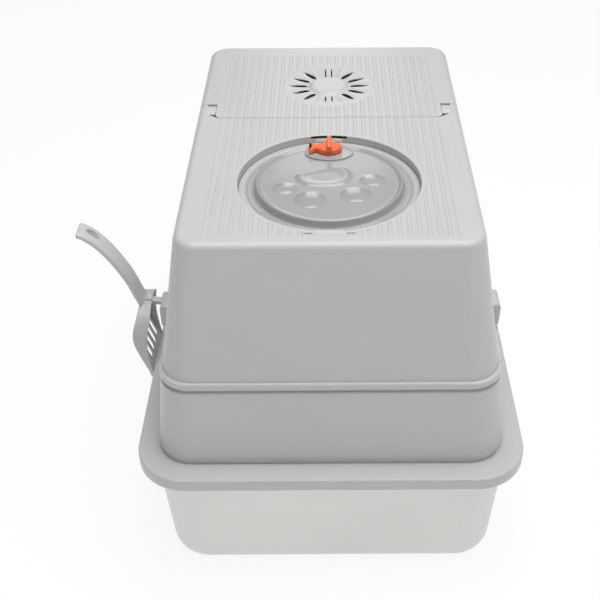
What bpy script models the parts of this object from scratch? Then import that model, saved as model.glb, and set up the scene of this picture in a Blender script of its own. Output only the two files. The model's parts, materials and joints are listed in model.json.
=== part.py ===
"""A hooded cat litter box: steel pan, guard frame, hood in two shells, round hatch, vent and scoop.

Metres, +Z up. The origin is on the floor under the middle of the pan. +Y points to the cat's
entrance, at the end whose hood shell tips up, and the scoop hangs on the -X side.
"""

import math

import bmesh
import bpy
from mathutils import Matrix, Vector

# Fits
GAP = 0.0004  # between pieces that rest on each other
PIN_GAP = 0.0003  # round a pin in its bore
SIDE_GAP = 0.0012  # pan rim inside the frame's skirt

# Pan
PAN_TOP_WIDTH = 0.4045
END_EXTRA = 0.1604  # every level of the box is this much longer than it is wide
PAN_DEPTH = 0.1746
PAN_LEAN = 0.0092
PAN_STEEL = 0.0012
PAN_CORNER = 0.045
PAN_BOTTOM_RADIUS = 0.028
PAN_RIM = 0.0135
PAN_CURL = 0.004

# Guard frame
PLASTIC = 0.0028
FRAME_HEIGHT = 0.103
FRAME_INSET = 0.00575  # wall base inside the pan's edge
FRAME_LEAN = 0.0115
FRAME_CORNER = 0.040
SKIRT_DROP = 0.0162
SKIRT_CORNER = 0.058
FRAME_FILLET = 0.009
SPIGOT_HEIGHT = 0.008
SPIGOT_STEP = 0.0045

# Hood
HOOD_WALL = 0.0026
HOOD_HEIGHT = 0.1676
HOOD_LEAN = 0.0275
HOOD_INSET = 0.001  # hood wall inside the frame's wall
HOOD_CORNER = 0.036
HOOD_TOP_CORNER = 0.025
HOOD_EDGE_RADIUS = 0.008
BEAD_PROUD = 0.0023
BEAD_HEIGHT = 0.0081

# Round hatch and its door
HATCH_RADIUS = 0.09915
HATCH_EDGE = 0.0239  # from the hood's end to the hatch
RECESS_DEPTH = 0.0111
LEDGE_WIDTH = 0.0065
RECESS_WALL = 0.0034
DOOR_WALL = 0.0022
CROWN_SETBACK = 0.02015  # from the hatch wall to the crown's edge
DOOR_CROWN_DROP = 0.0006  # crown's rim below the deck
DOOR_PIN_RADIUS = 0.0016
DOOR_KNUCKLE_RADIUS = 0.0036
DOOR_KNUCKLE_WIDTH = 0.032
DOOR_PIN_SETBACK = 0.0045

# Latch knob on the door
KNOB_SETBACK = 0.0335  # from the hatch wall to the knob's axis
BOSS_RADIUS = 0.0275
BOSS_DROP = 0.0012
KNOB_SWEEP_DROP = 0.0002  # crown cut back to this far below the boss, where the knob turns
SPINDLE_RADIUS = 0.004
KNOB_RADIUS = 0.013
KNOB_HEIGHT = 0.006
KNOB_TAIL = 0.0228
FIN_HEIGHT = 0.0055
FIN_WIDTH = 0.004
CAM_LENGTH = 0.045
CAM_WIDTH = 0.012
CAM_THICKNESS = 0.003

# Seam, ears and flap hinge
SEAM_AFTER_HATCH = 0.0445
SEAM_GAP = 0.0012
EAR_DEPTH = 0.035
EAR_WIDTH = 0.009
NOTCH_WIDTH = 0.0115
FLAP_PIN_RADIUS = 0.0023
FLAP_PIN_DROP = 0.0045
FLAP_PIN_SETBACK = 0.0215
LUG_RADIUS = 0.0045

# Vent
VENT_AFTER_SEAM = 0.0875
VENT_RADIUS = 0.057
VENT_LEDGE = 0.003
VENT_SLOTS = 10
VENT_SLOT_INNER = 0.027
VENT_SLOT_OUTER = 0.050
VENT_SLOT_WIDTH = 0.006
FILTER_RADIUS = 0.0480
FILTER_THICKNESS = 0.008

# Cat's entrance at the flap end
ENTRANCE_WIDTH = 0.200
ENTRANCE_SILL = 0.034  # above the flange
ENTRANCE_HEAD = 0.050  # below the deck
ENTRANCE_RADIUS = 0.060

# Side latches
LATCH_Y = -0.125
LATCH_WIDTH = 0.030
LATCH_PIN_RADIUS = 0.0017
LATCH_LUG_WIDTH = 0.004
LATCH_PIVOT_OUT = 0.0068  # pivot axis outside the frame's wall edge
LATCH_PIVOT_DROP = 0.016  # pivot axis below the hood's rim

# Scoop and its hanger
SCOOP_Y = -0.062
SCOOP_WIDTH = 0.084
SCOOP_WALL = 0.0022
SCOOP_NECK_WIDTH = 0.012
SCOOP_SHOULDER = 0.036  # above the flange, where the sides start to round in to the neck
SCOOP_SHOULDER_RISE = 0.036
SCOOP_TIP_DROP = 0.030  # tip below the flange
SCOOP_TIP_RADIUS = 0.012
SCOOP_SLOTS = 5
SCOOP_SLOT_WIDTH = 0.008
SCOOP_SLOT_PITCH = 0.0145
HANDLE_WIDTH = 0.028
HANDLE_THICKNESS = 0.0085
HANDLE_START = 0.062  # handle's foot above the flange, inside the bowl
HOOK_WIDTH = 0.010
HOOK_THICKNESS = 0.0045
HANGER_WIDTH = 0.030
HANGER_DEPTH = 0.0105
HANGER_HEIGHT = 0.022
HANGER_ABOVE_FLANGE = 0.0410
SCREW_RADIUS = 0.0018

CORNER_STEPS = 6
ROUND_STEPS = 64

# Levels and widths that follow from the sizes above
PAN_RIM_TOP = PAN_DEPTH + PAN_STEEL
FLANGE_Z = PAN_RIM_TOP + GAP + PLASTIC
FRAME_TOP_Z = FLANGE_Z + FRAME_HEIGHT
HOOD_Z = FRAME_TOP_Z + GAP
DECK_Z = HOOD_Z + HOOD_HEIGHT
PAN_HALF = PAN_TOP_WIDTH / 2
FLANGE_HALF = PAN_HALF + PAN_RIM + SIDE_GAP + PLASTIC
FRAME_BASE_HALF = PAN_HALF - FRAME_INSET
FRAME_TOP_HALF = FRAME_BASE_HALF - FRAME_LEAN
HOOD_BASE_HALF = FRAME_TOP_HALF - HOOD_INSET
DECK_HALF = HOOD_BASE_HALF - HOOD_LEAN
DECK_HALF_LENGTH = DECK_HALF + END_EXTRA / 2
HATCH_Y = -DECK_HALF_LENGTH + HATCH_EDGE + HATCH_RADIUS
LEDGE_Z = DECK_Z - RECESS_DEPTH
LIP_Z = LEDGE_Z + GAP + DOOR_WALL
DOOR_RADIUS = HATCH_RADIUS - 0.0008
DOOR_CROWN_RADIUS = HATCH_RADIUS - CROWN_SETBACK
DOOR_PIN_Y = HATCH_Y - HATCH_RADIUS - DOOR_PIN_SETBACK
DOOR_PIN_Z = DECK_Z - DOOR_KNUCKLE_RADIUS - GAP
KNOB_Y = HATCH_Y + HATCH_RADIUS - KNOB_SETBACK
BOSS_Z = DECK_Z - BOSS_DROP
SEAM_Y = HATCH_Y + HATCH_RADIUS + SEAM_AFTER_HATCH
EAR_BACK_Y = SEAM_Y + EAR_DEPTH
EAR_X = DECK_HALF - EAR_WIDTH
TONGUE_X = EAR_X - NOTCH_WIDTH
FLAP_PIN_Y = SEAM_Y + FLAP_PIN_SETBACK
FLAP_PIN_Z = DECK_Z - FLAP_PIN_DROP
VENT_Y = SEAM_Y + VENT_AFTER_SEAM
HANGER_Z = FLANGE_Z + HANGER_ABOVE_FLANGE


def frame_half(z):
    """Half the width over the frame's outer wall at height z."""
    return FRAME_BASE_HALF - FRAME_LEAN * (z - FLANGE_Z) / FRAME_HEIGHT


def hood_half(z):
    """Half the width over the hood's outer wall at height z."""
    return HOOD_BASE_HALF - HOOD_LEAN * (z - HOOD_Z) / HOOD_HEIGHT


# ---------------------------------------------------------------- scene and materials


def clear_scene():
    for obj in list(bpy.data.objects):
        bpy.data.objects.remove(obj, do_unlink=True)


def new_collection(name):
    group = bpy.data.collections.new(name)
    bpy.context.scene.collection.children.link(group)
    return group


clear_scene()
PARTS = new_collection("cat_litter_box")
HELPERS = new_collection("cutters_and_joins")


def material(name, color, roughness, metallic=0.0, alpha=1.0):
    found = bpy.data.materials.get(name)
    if found:
        return found
    made = bpy.data.materials.new(name)
    made.use_nodes = True
    shader = made.node_tree.nodes["Principled BSDF"]
    shader.inputs["Base Color"].default_value = (*color, 1.0)
    shader.inputs["Roughness"].default_value = roughness
    shader.inputs["Metallic"].default_value = metallic
    shader.inputs["Alpha"].default_value = alpha
    made.diffuse_color = (*color, alpha)
    return made


def grey_plastic():
    return material("grey_plastic", (0.66, 0.66, 0.66), 0.42)


def brushed_pan():
    return material("pan_steel", (0.72, 0.70, 0.68), 0.38, metallic=0.9)


def smoked_plastic():
    return material("smoked_plastic", (0.50, 0.52, 0.55), 0.12, alpha=0.75)


def orange_plastic():
    return material("orange_plastic", (1.0, 0.19, 0.06), 0.35)


def pin_steel():
    return material("pin_steel", (0.62, 0.62, 0.62), 0.3, metallic=1.0)


def carbon_foam():
    return material("carbon_foam", (0.03, 0.03, 0.03), 0.95)


def helper(obj):
    """Marks an object that only cuts or joins another."""
    obj.hide_render = True
    obj.display_type = "WIRE"
    for group in list(obj.users_collection):
        group.objects.unlink(obj)
    HELPERS.objects.link(obj)
    return obj


def object_of(name, mesh):
    obj = bpy.data.objects.new(name, mesh)
    PARTS.objects.link(obj)
    return obj


def shade(obj, angle=30):
    obj.data.shade_smooth()
    obj.data.set_sharp_from_angle(angle=math.radians(angle))
    return obj


def place_origin(obj, point):
    """Puts the object's origin at the point, with its mesh where it was."""
    obj.data.transform(Matrix.Translation(-Vector(point)))
    obj.location = point
    return obj


# ---------------------------------------------------------------- shape makers


def mesh_from(name, bm):
    bmesh.ops.recalc_face_normals(bm, faces=bm.faces)
    mesh = bpy.data.meshes.new(name)
    bm.to_mesh(mesh)
    bm.free()
    return mesh


def rounded_ring(half, radius, z):
    """Points round a rounded rectangle of the box's plan at height z."""
    half_length = half + END_EXTRA / 2
    points = []
    for quarter, (sx, sy) in enumerate(((1, 1), (-1, 1), (-1, -1), (1, -1))):
        for step in range(CORNER_STEPS + 1):
            turn = math.pi / 2 * (quarter + step / CORNER_STEPS)
            x = sx * (half - radius) + radius * math.cos(turn)
            y = sy * (half_length - radius) + radius * math.sin(turn)
            points.append(Vector((x, y, z)))
    return points


def loft(name, rings, endless=False):
    """A closed body through rings of equally many points, capped, or joined end to start."""
    bm = bmesh.new()
    loops = [[bm.verts.new(point) for point in ring] for ring in rings]
    count = len(rings[0])
    for below, above in zip(loops, loops[1:] + loops[:1] * endless):
        for i in range(count):
            j = (i + 1) % count
            bm.faces.new((below[i], below[j], above[j], above[i]))
    if not endless:
        bm.faces.new(loops[0][::-1])
        bm.faces.new(loops[-1])
    return mesh_from(name, bm)


def prism(name, outline, low, high, axis="Z"):
    """A flat outline pushed from low to high along an axis; the outline is in the other two axes."""
    bm = bmesh.new()
    to_point = {
        "X": lambda a, b: (low, a, b),
        "Y": lambda a, b: (a, low, b),
        "Z": lambda a, b: (a, b, low),
    }[axis]
    along = {"X": (1, 0, 0), "Y": (0, 1, 0), "Z": (0, 0, 1)}[axis]
    face = bm.faces.new([bm.verts.new(to_point(a, b)) for a, b in outline])
    pushed = bmesh.ops.extrude_face_region(bm, geom=[face])["geom"]
    moved = [item for item in pushed if isinstance(item, bmesh.types.BMVert)]
    bmesh.ops.translate(bm, vec=Vector(along) * (high - low), verts=moved)
    return object_of(name, mesh_from(name, bm))


def box(name, low, high):
    bm = bmesh.new()
    bmesh.ops.create_cube(bm, size=1.0)
    size = Vector(high) - Vector(low)
    bmesh.ops.scale(bm, vec=size, verts=bm.verts)
    bmesh.ops.translate(bm, vec=(Vector(high) + Vector(low)) / 2, verts=bm.verts)
    return object_of(name, mesh_from(name, bm))


def cylinder(name, radius, start, end, steps=24):
    start, end = Vector(start), Vector(end)
    bm = bmesh.new()
    length = (end - start).length
    bmesh.ops.create_cone(
        bm, cap_ends=True, segments=steps, radius1=radius, radius2=radius, depth=length
    )
    turn = (end - start).to_track_quat("Z", "Y").to_matrix().to_4x4()
    bmesh.ops.transform(bm, matrix=Matrix.Translation((start + end) / 2) @ turn, verts=bm.verts)
    return object_of(name, mesh_from(name, bm))


def turned(name, profile, centre, steps=ROUND_STEPS, closed=True):
    """A profile of (radius, z) turned about the vertical line through centre (x, y)."""
    bm = bmesh.new()
    points = [bm.verts.new((radius, 0, z)) for radius, z in profile]
    for first, second in zip(points, points[1:]):
        bm.edges.new((first, second))
    if closed:
        bm.edges.new((points[-1], points[0]))
    mesh = bpy.data.meshes.new(name)
    bm.to_mesh(mesh)
    bm.free()
    obj = object_of(name, mesh)
    obj.location = (centre[0], centre[1], 0)
    screw = obj.modifiers.new("Screw", "SCREW")
    screw.steps = screw.render_steps = steps
    screw.use_merge_vertices = True
    screw.merge_threshold = 0.00005
    screw.use_normal_calculate = True
    return obj


def plain(obj):
    """The object with its modifiers made real, in world space."""
    graph = bpy.context.evaluated_depsgraph_get()
    bpy.context.view_layer.update()
    mesh = bpy.data.meshes.new_from_object(obj.evaluated_get(graph))
    mesh.transform(obj.matrix_world)
    obj.modifiers.clear()
    obj.data = mesh
    obj.matrix_world = Matrix.Identity(4)
    bm = bmesh.new()
    bm.from_mesh(mesh)
    bmesh.ops.remove_doubles(bm, verts=bm.verts, dist=0.00001)
    bmesh.ops.recalc_face_normals(bm, faces=bm.faces)
    bm.to_mesh(mesh)
    bm.free()
    return obj


def solidify(obj, thickness):
    """A wall grown from the surface to its inner side."""
    wall = obj.modifiers.new("Wall", "SOLIDIFY")
    wall.thickness = thickness
    wall.offset = -1
    wall.use_even_offset = True
    return obj


def bevel(obj, width, segments=2, angle=30):
    rounded = obj.modifiers.new("Rounded", "BEVEL")
    rounded.width = width
    rounded.segments = segments
    rounded.limit_method = "ANGLE"
    rounded.angle_limit = math.radians(angle)
    return obj


def boolean(obj, other, operation):
    change = obj.modifiers.new(other.name, "BOOLEAN")
    change.operation = operation
    change.object = helper(other)
    return obj


def cut(obj, *others):
    for other in others:
        boolean(obj, other, "DIFFERENCE")
    return obj


def join(obj, *others):
    for other in others:
        boolean(obj, other, "UNION")
    return obj


def give(obj, name, finish):
    """Names a finished piece and sets its finish."""
    obj.name = name
    obj.data.name = name
    obj.data.materials.clear()
    obj.data.materials.append(finish)
    return shade(obj)


# ---------------------------------------------------------------- pan and frame


def pan_rings(inward):
    """The pan's rings from the middle of its bottom to its curled edge, moved in by the steel."""
    slope = PAN_LEAN / PAN_DEPTH
    radius = PAN_BOTTOM_RADIUS - inward
    top = PAN_DEPTH + inward
    rings = []
    for step in range(5):
        turn = math.pi / 2 * step / 4
        z = inward + radius * (1 - math.cos(turn))
        inset = inward + radius * (1 - math.sin(turn))
        half = PAN_HALF - slope * (PAN_DEPTH - z) - inset
        rings.append(rounded_ring(half, PAN_CORNER - inset, z))
    rings.append(rounded_ring(PAN_HALF - inward, PAN_CORNER - inward, top - 0.002))
    rings.append(rounded_ring(PAN_HALF - inward + 0.002, PAN_CORNER + 0.002, top))
    reach = PAN_RIM - PAN_STEEL + inward
    rings.append(rounded_ring(PAN_HALF + reach, PAN_CORNER + reach, top))
    rings.append(rounded_ring(PAN_HALF + reach, PAN_CORNER + reach, PAN_DEPTH - PAN_CURL))
    return rings


def litter_pan():
    """An open deep-drawn pan with a flat rim that curls down at its edge."""
    rings = pan_rings(0.0) + pan_rings(PAN_STEEL)[::-1]
    return give(object_of("litter_pan", loft("litter_pan", rings)), "litter_pan", brushed_pan())


def frame_rings():
    """Round the frame's section: down its outer side from the spigot to the skirt, and back inside."""
    spigot = FRAME_TOP_HALF - SPIGOT_STEP
    spigot_corner = HOOD_CORNER - SPIGOT_STEP
    spigot_top = FRAME_TOP_Z + SPIGOT_HEIGHT
    taper = 0.0013
    edge = 0.003
    rings = [
        rounded_ring(spigot - taper, spigot_corner, spigot_top),
        rounded_ring(spigot, spigot_corner, FRAME_TOP_Z),
        rounded_ring(FRAME_TOP_HALF - 0.0006, HOOD_CORNER, FRAME_TOP_Z),
        rounded_ring(FRAME_TOP_HALF, HOOD_CORNER, FRAME_TOP_Z - 0.0008),
    ]
    for step in range(4):
        turn = math.pi / 2 * step / 3
        z = FLANGE_Z + FRAME_FILLET * (1 - math.sin(turn))
        half = frame_half(FLANGE_Z + FRAME_FILLET) + FRAME_FILLET * (1 - math.cos(turn))
        rings.append(rounded_ring(half, FRAME_CORNER + half - FRAME_BASE_HALF, z))
    skirt_inner = FLANGE_HALF - PLASTIC
    underside = FLANGE_Z - PLASTIC
    wall_foot = frame_half(FLANGE_Z) - PLASTIC
    rings += [
        rounded_ring(FLANGE_HALF - edge, SKIRT_CORNER - edge, FLANGE_Z),
        rounded_ring(FLANGE_HALF - 0.0008, SKIRT_CORNER, FLANGE_Z - 0.0009),
        rounded_ring(FLANGE_HALF, SKIRT_CORNER, FLANGE_Z - edge),
        rounded_ring(FLANGE_HALF, SKIRT_CORNER, FLANGE_Z - SKIRT_DROP),
        rounded_ring(skirt_inner, SKIRT_CORNER - PLASTIC, FLANGE_Z - SKIRT_DROP),
        rounded_ring(skirt_inner, SKIRT_CORNER - PLASTIC, underside),
        rounded_ring(wall_foot + edge, FRAME_CORNER, underside),
        rounded_ring(wall_foot, FRAME_CORNER - PLASTIC, underside + edge),
        rounded_ring(FRAME_TOP_HALF - PLASTIC, HOOD_CORNER - PLASTIC, FRAME_TOP_Z - PLASTIC),
        rounded_ring(spigot - PLASTIC, spigot_corner - PLASTIC, FRAME_TOP_Z - PLASTIC),
        rounded_ring(spigot - PLASTIC - taper, spigot_corner - PLASTIC, spigot_top),
    ]
    return rings


def entrance_cutter():
    """The arch through the flap end: a sill in the frame and a round-cornered head in the hood."""
    low = FLANGE_Z + ENTRANCE_SILL
    high = DECK_Z - ENTRANCE_HEAD
    half = ENTRANCE_WIDTH / 2
    outline = []
    for quarter, (sx, z) in enumerate(
        (
            (1, high - ENTRANCE_RADIUS),
            (-1, high - ENTRANCE_RADIUS),
            (-1, low + ENTRANCE_RADIUS / 2),
            (1, low + ENTRANCE_RADIUS / 2),
        )
    ):
        radius = ENTRANCE_RADIUS if quarter < 2 else ENTRANCE_RADIUS / 2
        for step in range(CORNER_STEPS + 1):
            turn = math.pi / 2 * (quarter + step / CORNER_STEPS)
            outline.append((sx * (half - radius) + radius * math.cos(turn), z + radius * math.sin(turn)))
    far = FLANGE_HALF + END_EXTRA
    return prism("entrance_cutter", outline, far / 2, far, "Y")


def latch_pivot(side):
    """X and z of a side latch's pivot."""
    z = HOOD_Z - LATCH_PIVOT_DROP
    return side * (FRAME_TOP_HALF + LATCH_PIVOT_OUT), z


def latch_lugs(side):
    """Two ears on the frame's wall that carry a side latch's pin."""
    x, z = latch_pivot(side)
    inner = side * (frame_half(z) - PLASTIC / 2)
    outer = x + side * 0.0035
    made = []
    for end in (-1, 1):
        near = LATCH_Y + end * (LATCH_WIDTH / 2 + GAP)
        far = near + end * LATCH_LUG_WIDTH
        low = (min(inner, outer), min(near, far), z - 0.004)
        high = (max(inner, outer), max(near, far), z + 0.004)
        made.append(box("latch_lug", low, high))
    return made


def latch_bore(side, name):
    x, z = latch_pivot(side)
    reach = LATCH_WIDTH / 2 + LATCH_LUG_WIDTH + 0.003
    ends = ((x, LATCH_Y - reach, z), (x, LATCH_Y + reach, z))
    return cylinder(name, LATCH_PIN_RADIUS + PIN_GAP, *ends, steps=16)


def hanger_screw_places():
    return [(SCOOP_Y + side * (HANGER_WIDTH / 2 - 0.006), HANGER_Z + 0.005) for side in (-1, 1)]


def guard_frame():
    frame = object_of("guard_frame", loft("guard_frame", frame_rings(), endless=True))
    cut(frame, entrance_cutter())
    for side, word in ((-1, "left"), (1, "right")):
        join(frame, *latch_lugs(side))
        cut(frame, latch_bore(side, f"latch_bore_{word}"))
    for number, (y, z) in enumerate(hanger_screw_places()):
        x = frame_half(z)
        ends = ((-x - 0.004, y, z), (-x + 0.008, y, z))
        cut(frame, cylinder(f"screw_bore_{number}", SCREW_RADIUS + PIN_GAP, *ends, steps=16))
    return give(frame, "guard_frame", grey_plastic())


# ---------------------------------------------------------------- hood


def hood_edge_rings(inward):
    """The rounded edge between the hood's walls and its deck, moved in by the wall."""
    radius = HOOD_EDGE_RADIUS - inward
    start = hood_half(DECK_Z - HOOD_EDGE_RADIUS) - inward
    rings = []
    for step in range(5):
        turn = math.pi / 2 * step / 4
        inset = radius * (1 - math.cos(turn))
        z = DECK_Z - inward - radius * (1 - math.sin(turn))
        rings.append(rounded_ring(start - inset, HOOD_TOP_CORNER - inward - inset, z))
    return rings


def hood_shell(name):
    """The whole hood as one shell with a bead round its rim, before it is divided at the seam."""
    bead_top = HOOD_Z + BEAD_HEIGHT
    bead = HOOD_BASE_HALF + BEAD_PROUD
    outside = [
        rounded_ring(bead - 0.0007, HOOD_CORNER, HOOD_Z),
        rounded_ring(bead, HOOD_CORNER, HOOD_Z + 0.0008),
        rounded_ring(bead - 0.0003, HOOD_CORNER, bead_top - 0.0015),
        rounded_ring(bead - 0.0017, HOOD_CORNER, bead_top),
        rounded_ring(hood_half(bead_top + 0.001), HOOD_CORNER, bead_top + 0.001),
    ]
    outside += hood_edge_rings(0.0)
    inside = [rounded_ring(HOOD_BASE_HALF - HOOD_WALL, HOOD_CORNER - HOOD_WALL, HOOD_Z)]
    inside += hood_edge_rings(HOOD_WALL)
    return object_of(name, loft(name, inside[::-1] + outside))


def seam_outline(offset):
    """The seam in plan, from -X to +X, moved by offset towards +Y."""
    half = []
    half.append((TONGUE_X - 0.012, SEAM_Y + offset))
    if offset < 0:
        half.append((TONGUE_X - 0.002, SEAM_Y + offset))
        half.append((EAR_X, SEAM_Y + 0.011))
        half.append((EAR_X, EAR_BACK_Y + offset))
    else:
        half.append((TONGUE_X, SEAM_Y + 0.007))
        half.append((TONGUE_X, EAR_BACK_Y + offset))
    half.append((2 * FLANGE_HALF, EAR_BACK_Y + offset))
    return [(-x, y) for x, y in half[::-1]] + half


def hood_region(name, offset):
    """The plan area of one hood shell, as tall as the hood."""
    reach = FLANGE_HALF + END_EXTRA
    end = reach if offset > 0 else -reach
    outline = seam_outline(offset) + [(2 * FLANGE_HALF, end), (-2 * FLANGE_HALF, end)]
    return prism(name, outline, HOOD_Z - 0.05, DECK_Z + 0.05)


def recess_ring():
    """The hatch's wall and the ledge that the door rests on."""
    outer = HATCH_RADIUS + RECESS_WALL
    inner = HATCH_RADIUS - LEDGE_WIDTH
    bottom = LEDGE_Z - HOOD_WALL
    profile = [
        (HATCH_RADIUS, DECK_Z - 0.0005),
        (outer, DECK_Z - 0.0005),
        (outer, bottom),
        (inner, bottom),
        (inner, LEDGE_Z),
        (HATCH_RADIUS, LEDGE_Z),
    ]
    return plain(turned("recess_ring", profile, (0, HATCH_Y)))


def door_pin_block():
    """Material under the deck that the door's pin runs in."""
    half = DOOR_KNUCKLE_WIDTH / 2 + 0.012
    low = (-half, DOOR_PIN_Y - 0.005, DECK_Z - 0.0088)
    high = (half, DOOR_PIN_Y + 0.0065, DECK_Z - 0.0015)
    return box("door_pin_block", low, high)


def door_knuckle_notch():
    half = DOOR_KNUCKLE_WIDTH / 2 + 0.0006
    low = (-half, DOOR_PIN_Y - DOOR_KNUCKLE_RADIUS - 0.0006, DECK_Z - 0.012)
    high = (half, HATCH_Y - HATCH_RADIUS + 0.010, DECK_Z + 0.01)
    return box("door_knuckle_notch", low, high)


def strike_slot():
    """The slot in the recess wall behind the knob."""
    y = HATCH_Y + HATCH_RADIUS
    return box("strike_slot", (-0.0195, y - 0.004, DECK_Z - 0.0062), (0.0212, y + 0.008, DECK_Z - 0.0027))


def flap_pin_ends(side):
    return (
        (side * (TONGUE_X - 0.008), FLAP_PIN_Y, FLAP_PIN_Z),
        (side * (EAR_X + 0.0045), FLAP_PIN_Y, FLAP_PIN_Z),
    )


def flap_lug(name, side, inner, outer):
    """A lug under the deck round the flap hinge's axis, from x inner to x outer."""
    ends = ((side * inner, FLAP_PIN_Y, FLAP_PIN_Z), (side * outer, FLAP_PIN_Y, FLAP_PIN_Z))
    return cylinder(name, LUG_RADIUS - 0.0002, *ends, steps=20)


def flap_bore(name, side):
    inner, outer = flap_pin_ends(side)
    reach = Vector((side * 0.001, 0, 0))
    return cylinder(name, FLAP_PIN_RADIUS + PIN_GAP, Vector(inner) - reach, Vector(outer) + reach, steps=20)


def rear_hood():
    hood = hood_shell("rear_hood")
    boolean(hood, hood_region("rear_region", -SEAM_GAP / 2), "INTERSECT")
    top = ((0, HATCH_Y, DECK_Z - 0.02), (0, HATCH_Y, DECK_Z + 0.02))
    cut(hood, cylinder("hatch_hole", HATCH_RADIUS + 0.0011, *top, steps=ROUND_STEPS))
    join(hood, recess_ring(), door_pin_block())
    cut(hood, door_knuckle_notch(), strike_slot())
    reach = DOOR_KNUCKLE_WIDTH / 2 + 0.0105
    ends = ((-reach, DOOR_PIN_Y, DOOR_PIN_Z), (reach, DOOR_PIN_Y, DOOR_PIN_Z))
    cut(hood, cylinder("door_pin_bore", DOOR_PIN_RADIUS + PIN_GAP, *ends, steps=16))
    for side, word in ((-1, "left"), (1, "right")):
        join(hood, flap_lug(f"ear_lug_{word}", side, EAR_X + 0.0005, EAR_X + 0.0065))
        cut(hood, flap_bore(f"ear_bore_{word}", side))
    return give(hood, "rear_hood", grey_plastic())


def vent_seat():
    """The ledge round the vent hole that the vent cap rests on."""
    outer = VENT_RADIUS + 0.003
    inner = VENT_RADIUS - VENT_LEDGE
    seat = DECK_Z - HOOD_WALL - 0.0008
    profile = [
        (VENT_RADIUS + 0.0004, DECK_Z - 0.0005),
        (outer, DECK_Z - 0.0005),
        (outer, seat - 0.0025),
        (inner, seat - 0.0025),
        (inner, seat),
        (VENT_RADIUS + 0.0004, seat),
    ]
    return plain(turned("vent_seat", profile, (0, VENT_Y)))


def front_hood():
    """The shell over the entrance, which tips up on the ears' pins."""
    hood = hood_shell("front_hood")
    boolean(hood, hood_region("front_region", SEAM_GAP / 2), "INTERSECT")
    cut(hood, entrance_cutter())
    top = ((0, VENT_Y, DECK_Z - 0.02), (0, VENT_Y, DECK_Z + 0.02))
    cut(hood, cylinder("vent_hole", VENT_RADIUS + 0.0011, *top, steps=ROUND_STEPS))
    join(hood, vent_seat())
    for side, word in ((-1, "left"), (1, "right")):
        join(hood, flap_lug(f"tongue_lug_{word}", side, TONGUE_X - 0.010, TONGUE_X - 0.0006))
        cut(hood, flap_bore(f"tongue_bore_{word}", side))
    place_origin(hood, (0, FLAP_PIN_Y, FLAP_PIN_Z))
    return give(hood, "front_hood", grey_plastic())


def flap_pins():
    for side, word in ((-1, "left"), (1, "right")):
        pin = cylinder(f"flap_pin_{word}", FLAP_PIN_RADIUS, *flap_pin_ends(side), steps=20)
        give(pin, f"flap_pin_{word}", grey_plastic())


# ---------------------------------------------------------------- door and latch knob


def top_door():
    """A dished round door: a lip on the ledge, a channel, and a raised crown inside it."""
    crown = DECK_Z - DOOR_CROWN_DROP
    rim = DOOR_CROWN_RADIUS
    ledge_inner = HATCH_RADIUS - LEDGE_WIDTH
    channel = LIP_Z - 0.0040
    profile = [
        (DOOR_RADIUS, LIP_Z),
        (ledge_inner - 0.0014, LIP_Z),
        (ledge_inner - 0.0045, channel + 0.0005),
        (rim + 0.0042, channel),
        (rim + 0.0016, channel + 0.0020),
        (rim + 0.0005, crown - 0.0010),
        (rim - 0.0010, crown),
        (rim - 0.0028, crown - 0.0008),
        (rim - 0.0045, crown - 0.0024),
        (0, crown - 0.0024),
    ]
    door = turned("top_door", profile, (0, HATCH_Y), closed=False)
    plain(door)
    if door.data.polygons[0].normal.z < 0:
        door.data.flip_normals()
    solidify(door, DOOR_WALL)
    sweep = ((0, KNOB_Y, BOSS_Z - KNOB_SWEEP_DROP), (0, KNOB_Y, DECK_Z + RECESS_DEPTH))
    cut(door, cylinder("knob_sweep", BOSS_RADIUS + GAP, *sweep, steps=40))
    boss_ends = ((0, KNOB_Y, LIP_Z - DOOR_WALL / 2), (0, KNOB_Y, BOSS_Z))
    hub_ends = ((0, KNOB_Y, LEDGE_Z - HOOD_WALL - 0.0007), (0, KNOB_Y, BOSS_Z - 0.002))
    join(door, cylinder("knob_boss", BOSS_RADIUS, *boss_ends, steps=40))
    join(door, cylinder("knob_hub", 0.010, *hub_ends))
    half = DOOR_KNUCKLE_WIDTH / 2
    ends = ((-half, DOOR_PIN_Y, DOOR_PIN_Z), (half, DOOR_PIN_Y, DOOR_PIN_Z))
    join(door, cylinder("door_knuckle", DOOR_KNUCKLE_RADIUS, *ends))
    arm_low = (-half + 0.0007, DOOR_PIN_Y - 0.0005, LIP_Z - DOOR_WALL + 0.0002)
    arm_high = (half - 0.0007, HATCH_Y - DOOR_RADIUS + 0.0035, LIP_Z + 0.0012)
    join(door, box("door_arm", arm_low, arm_high))
    reach = Vector((half + 0.003, 0, 0))
    axis = Vector((0, DOOR_PIN_Y, DOOR_PIN_Z))
    cut(door, cylinder("knuckle_bore", DOOR_PIN_RADIUS + PIN_GAP, axis - reach, axis + reach, steps=16))
    bore = ((0, KNOB_Y, DECK_Z - 0.05), (0, KNOB_Y, DECK_Z + 0.05))
    cut(door, cylinder("spindle_bore", SPINDLE_RADIUS + PIN_GAP, *bore))
    place_origin(door, (0, DOOR_PIN_Y, DOOR_PIN_Z))
    return give(door, "top_door", smoked_plastic())


def door_hinge_pin():
    reach = DOOR_KNUCKLE_WIDTH / 2 + 0.0095
    ends = ((-reach, DOOR_PIN_Y, DOOR_PIN_Z), (reach, DOOR_PIN_Y, DOOR_PIN_Z))
    pin = cylinder("door_hinge_pin", DOOR_PIN_RADIUS, *ends, steps=16)
    return give(pin, "door_hinge_pin", pin_steel())


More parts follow.
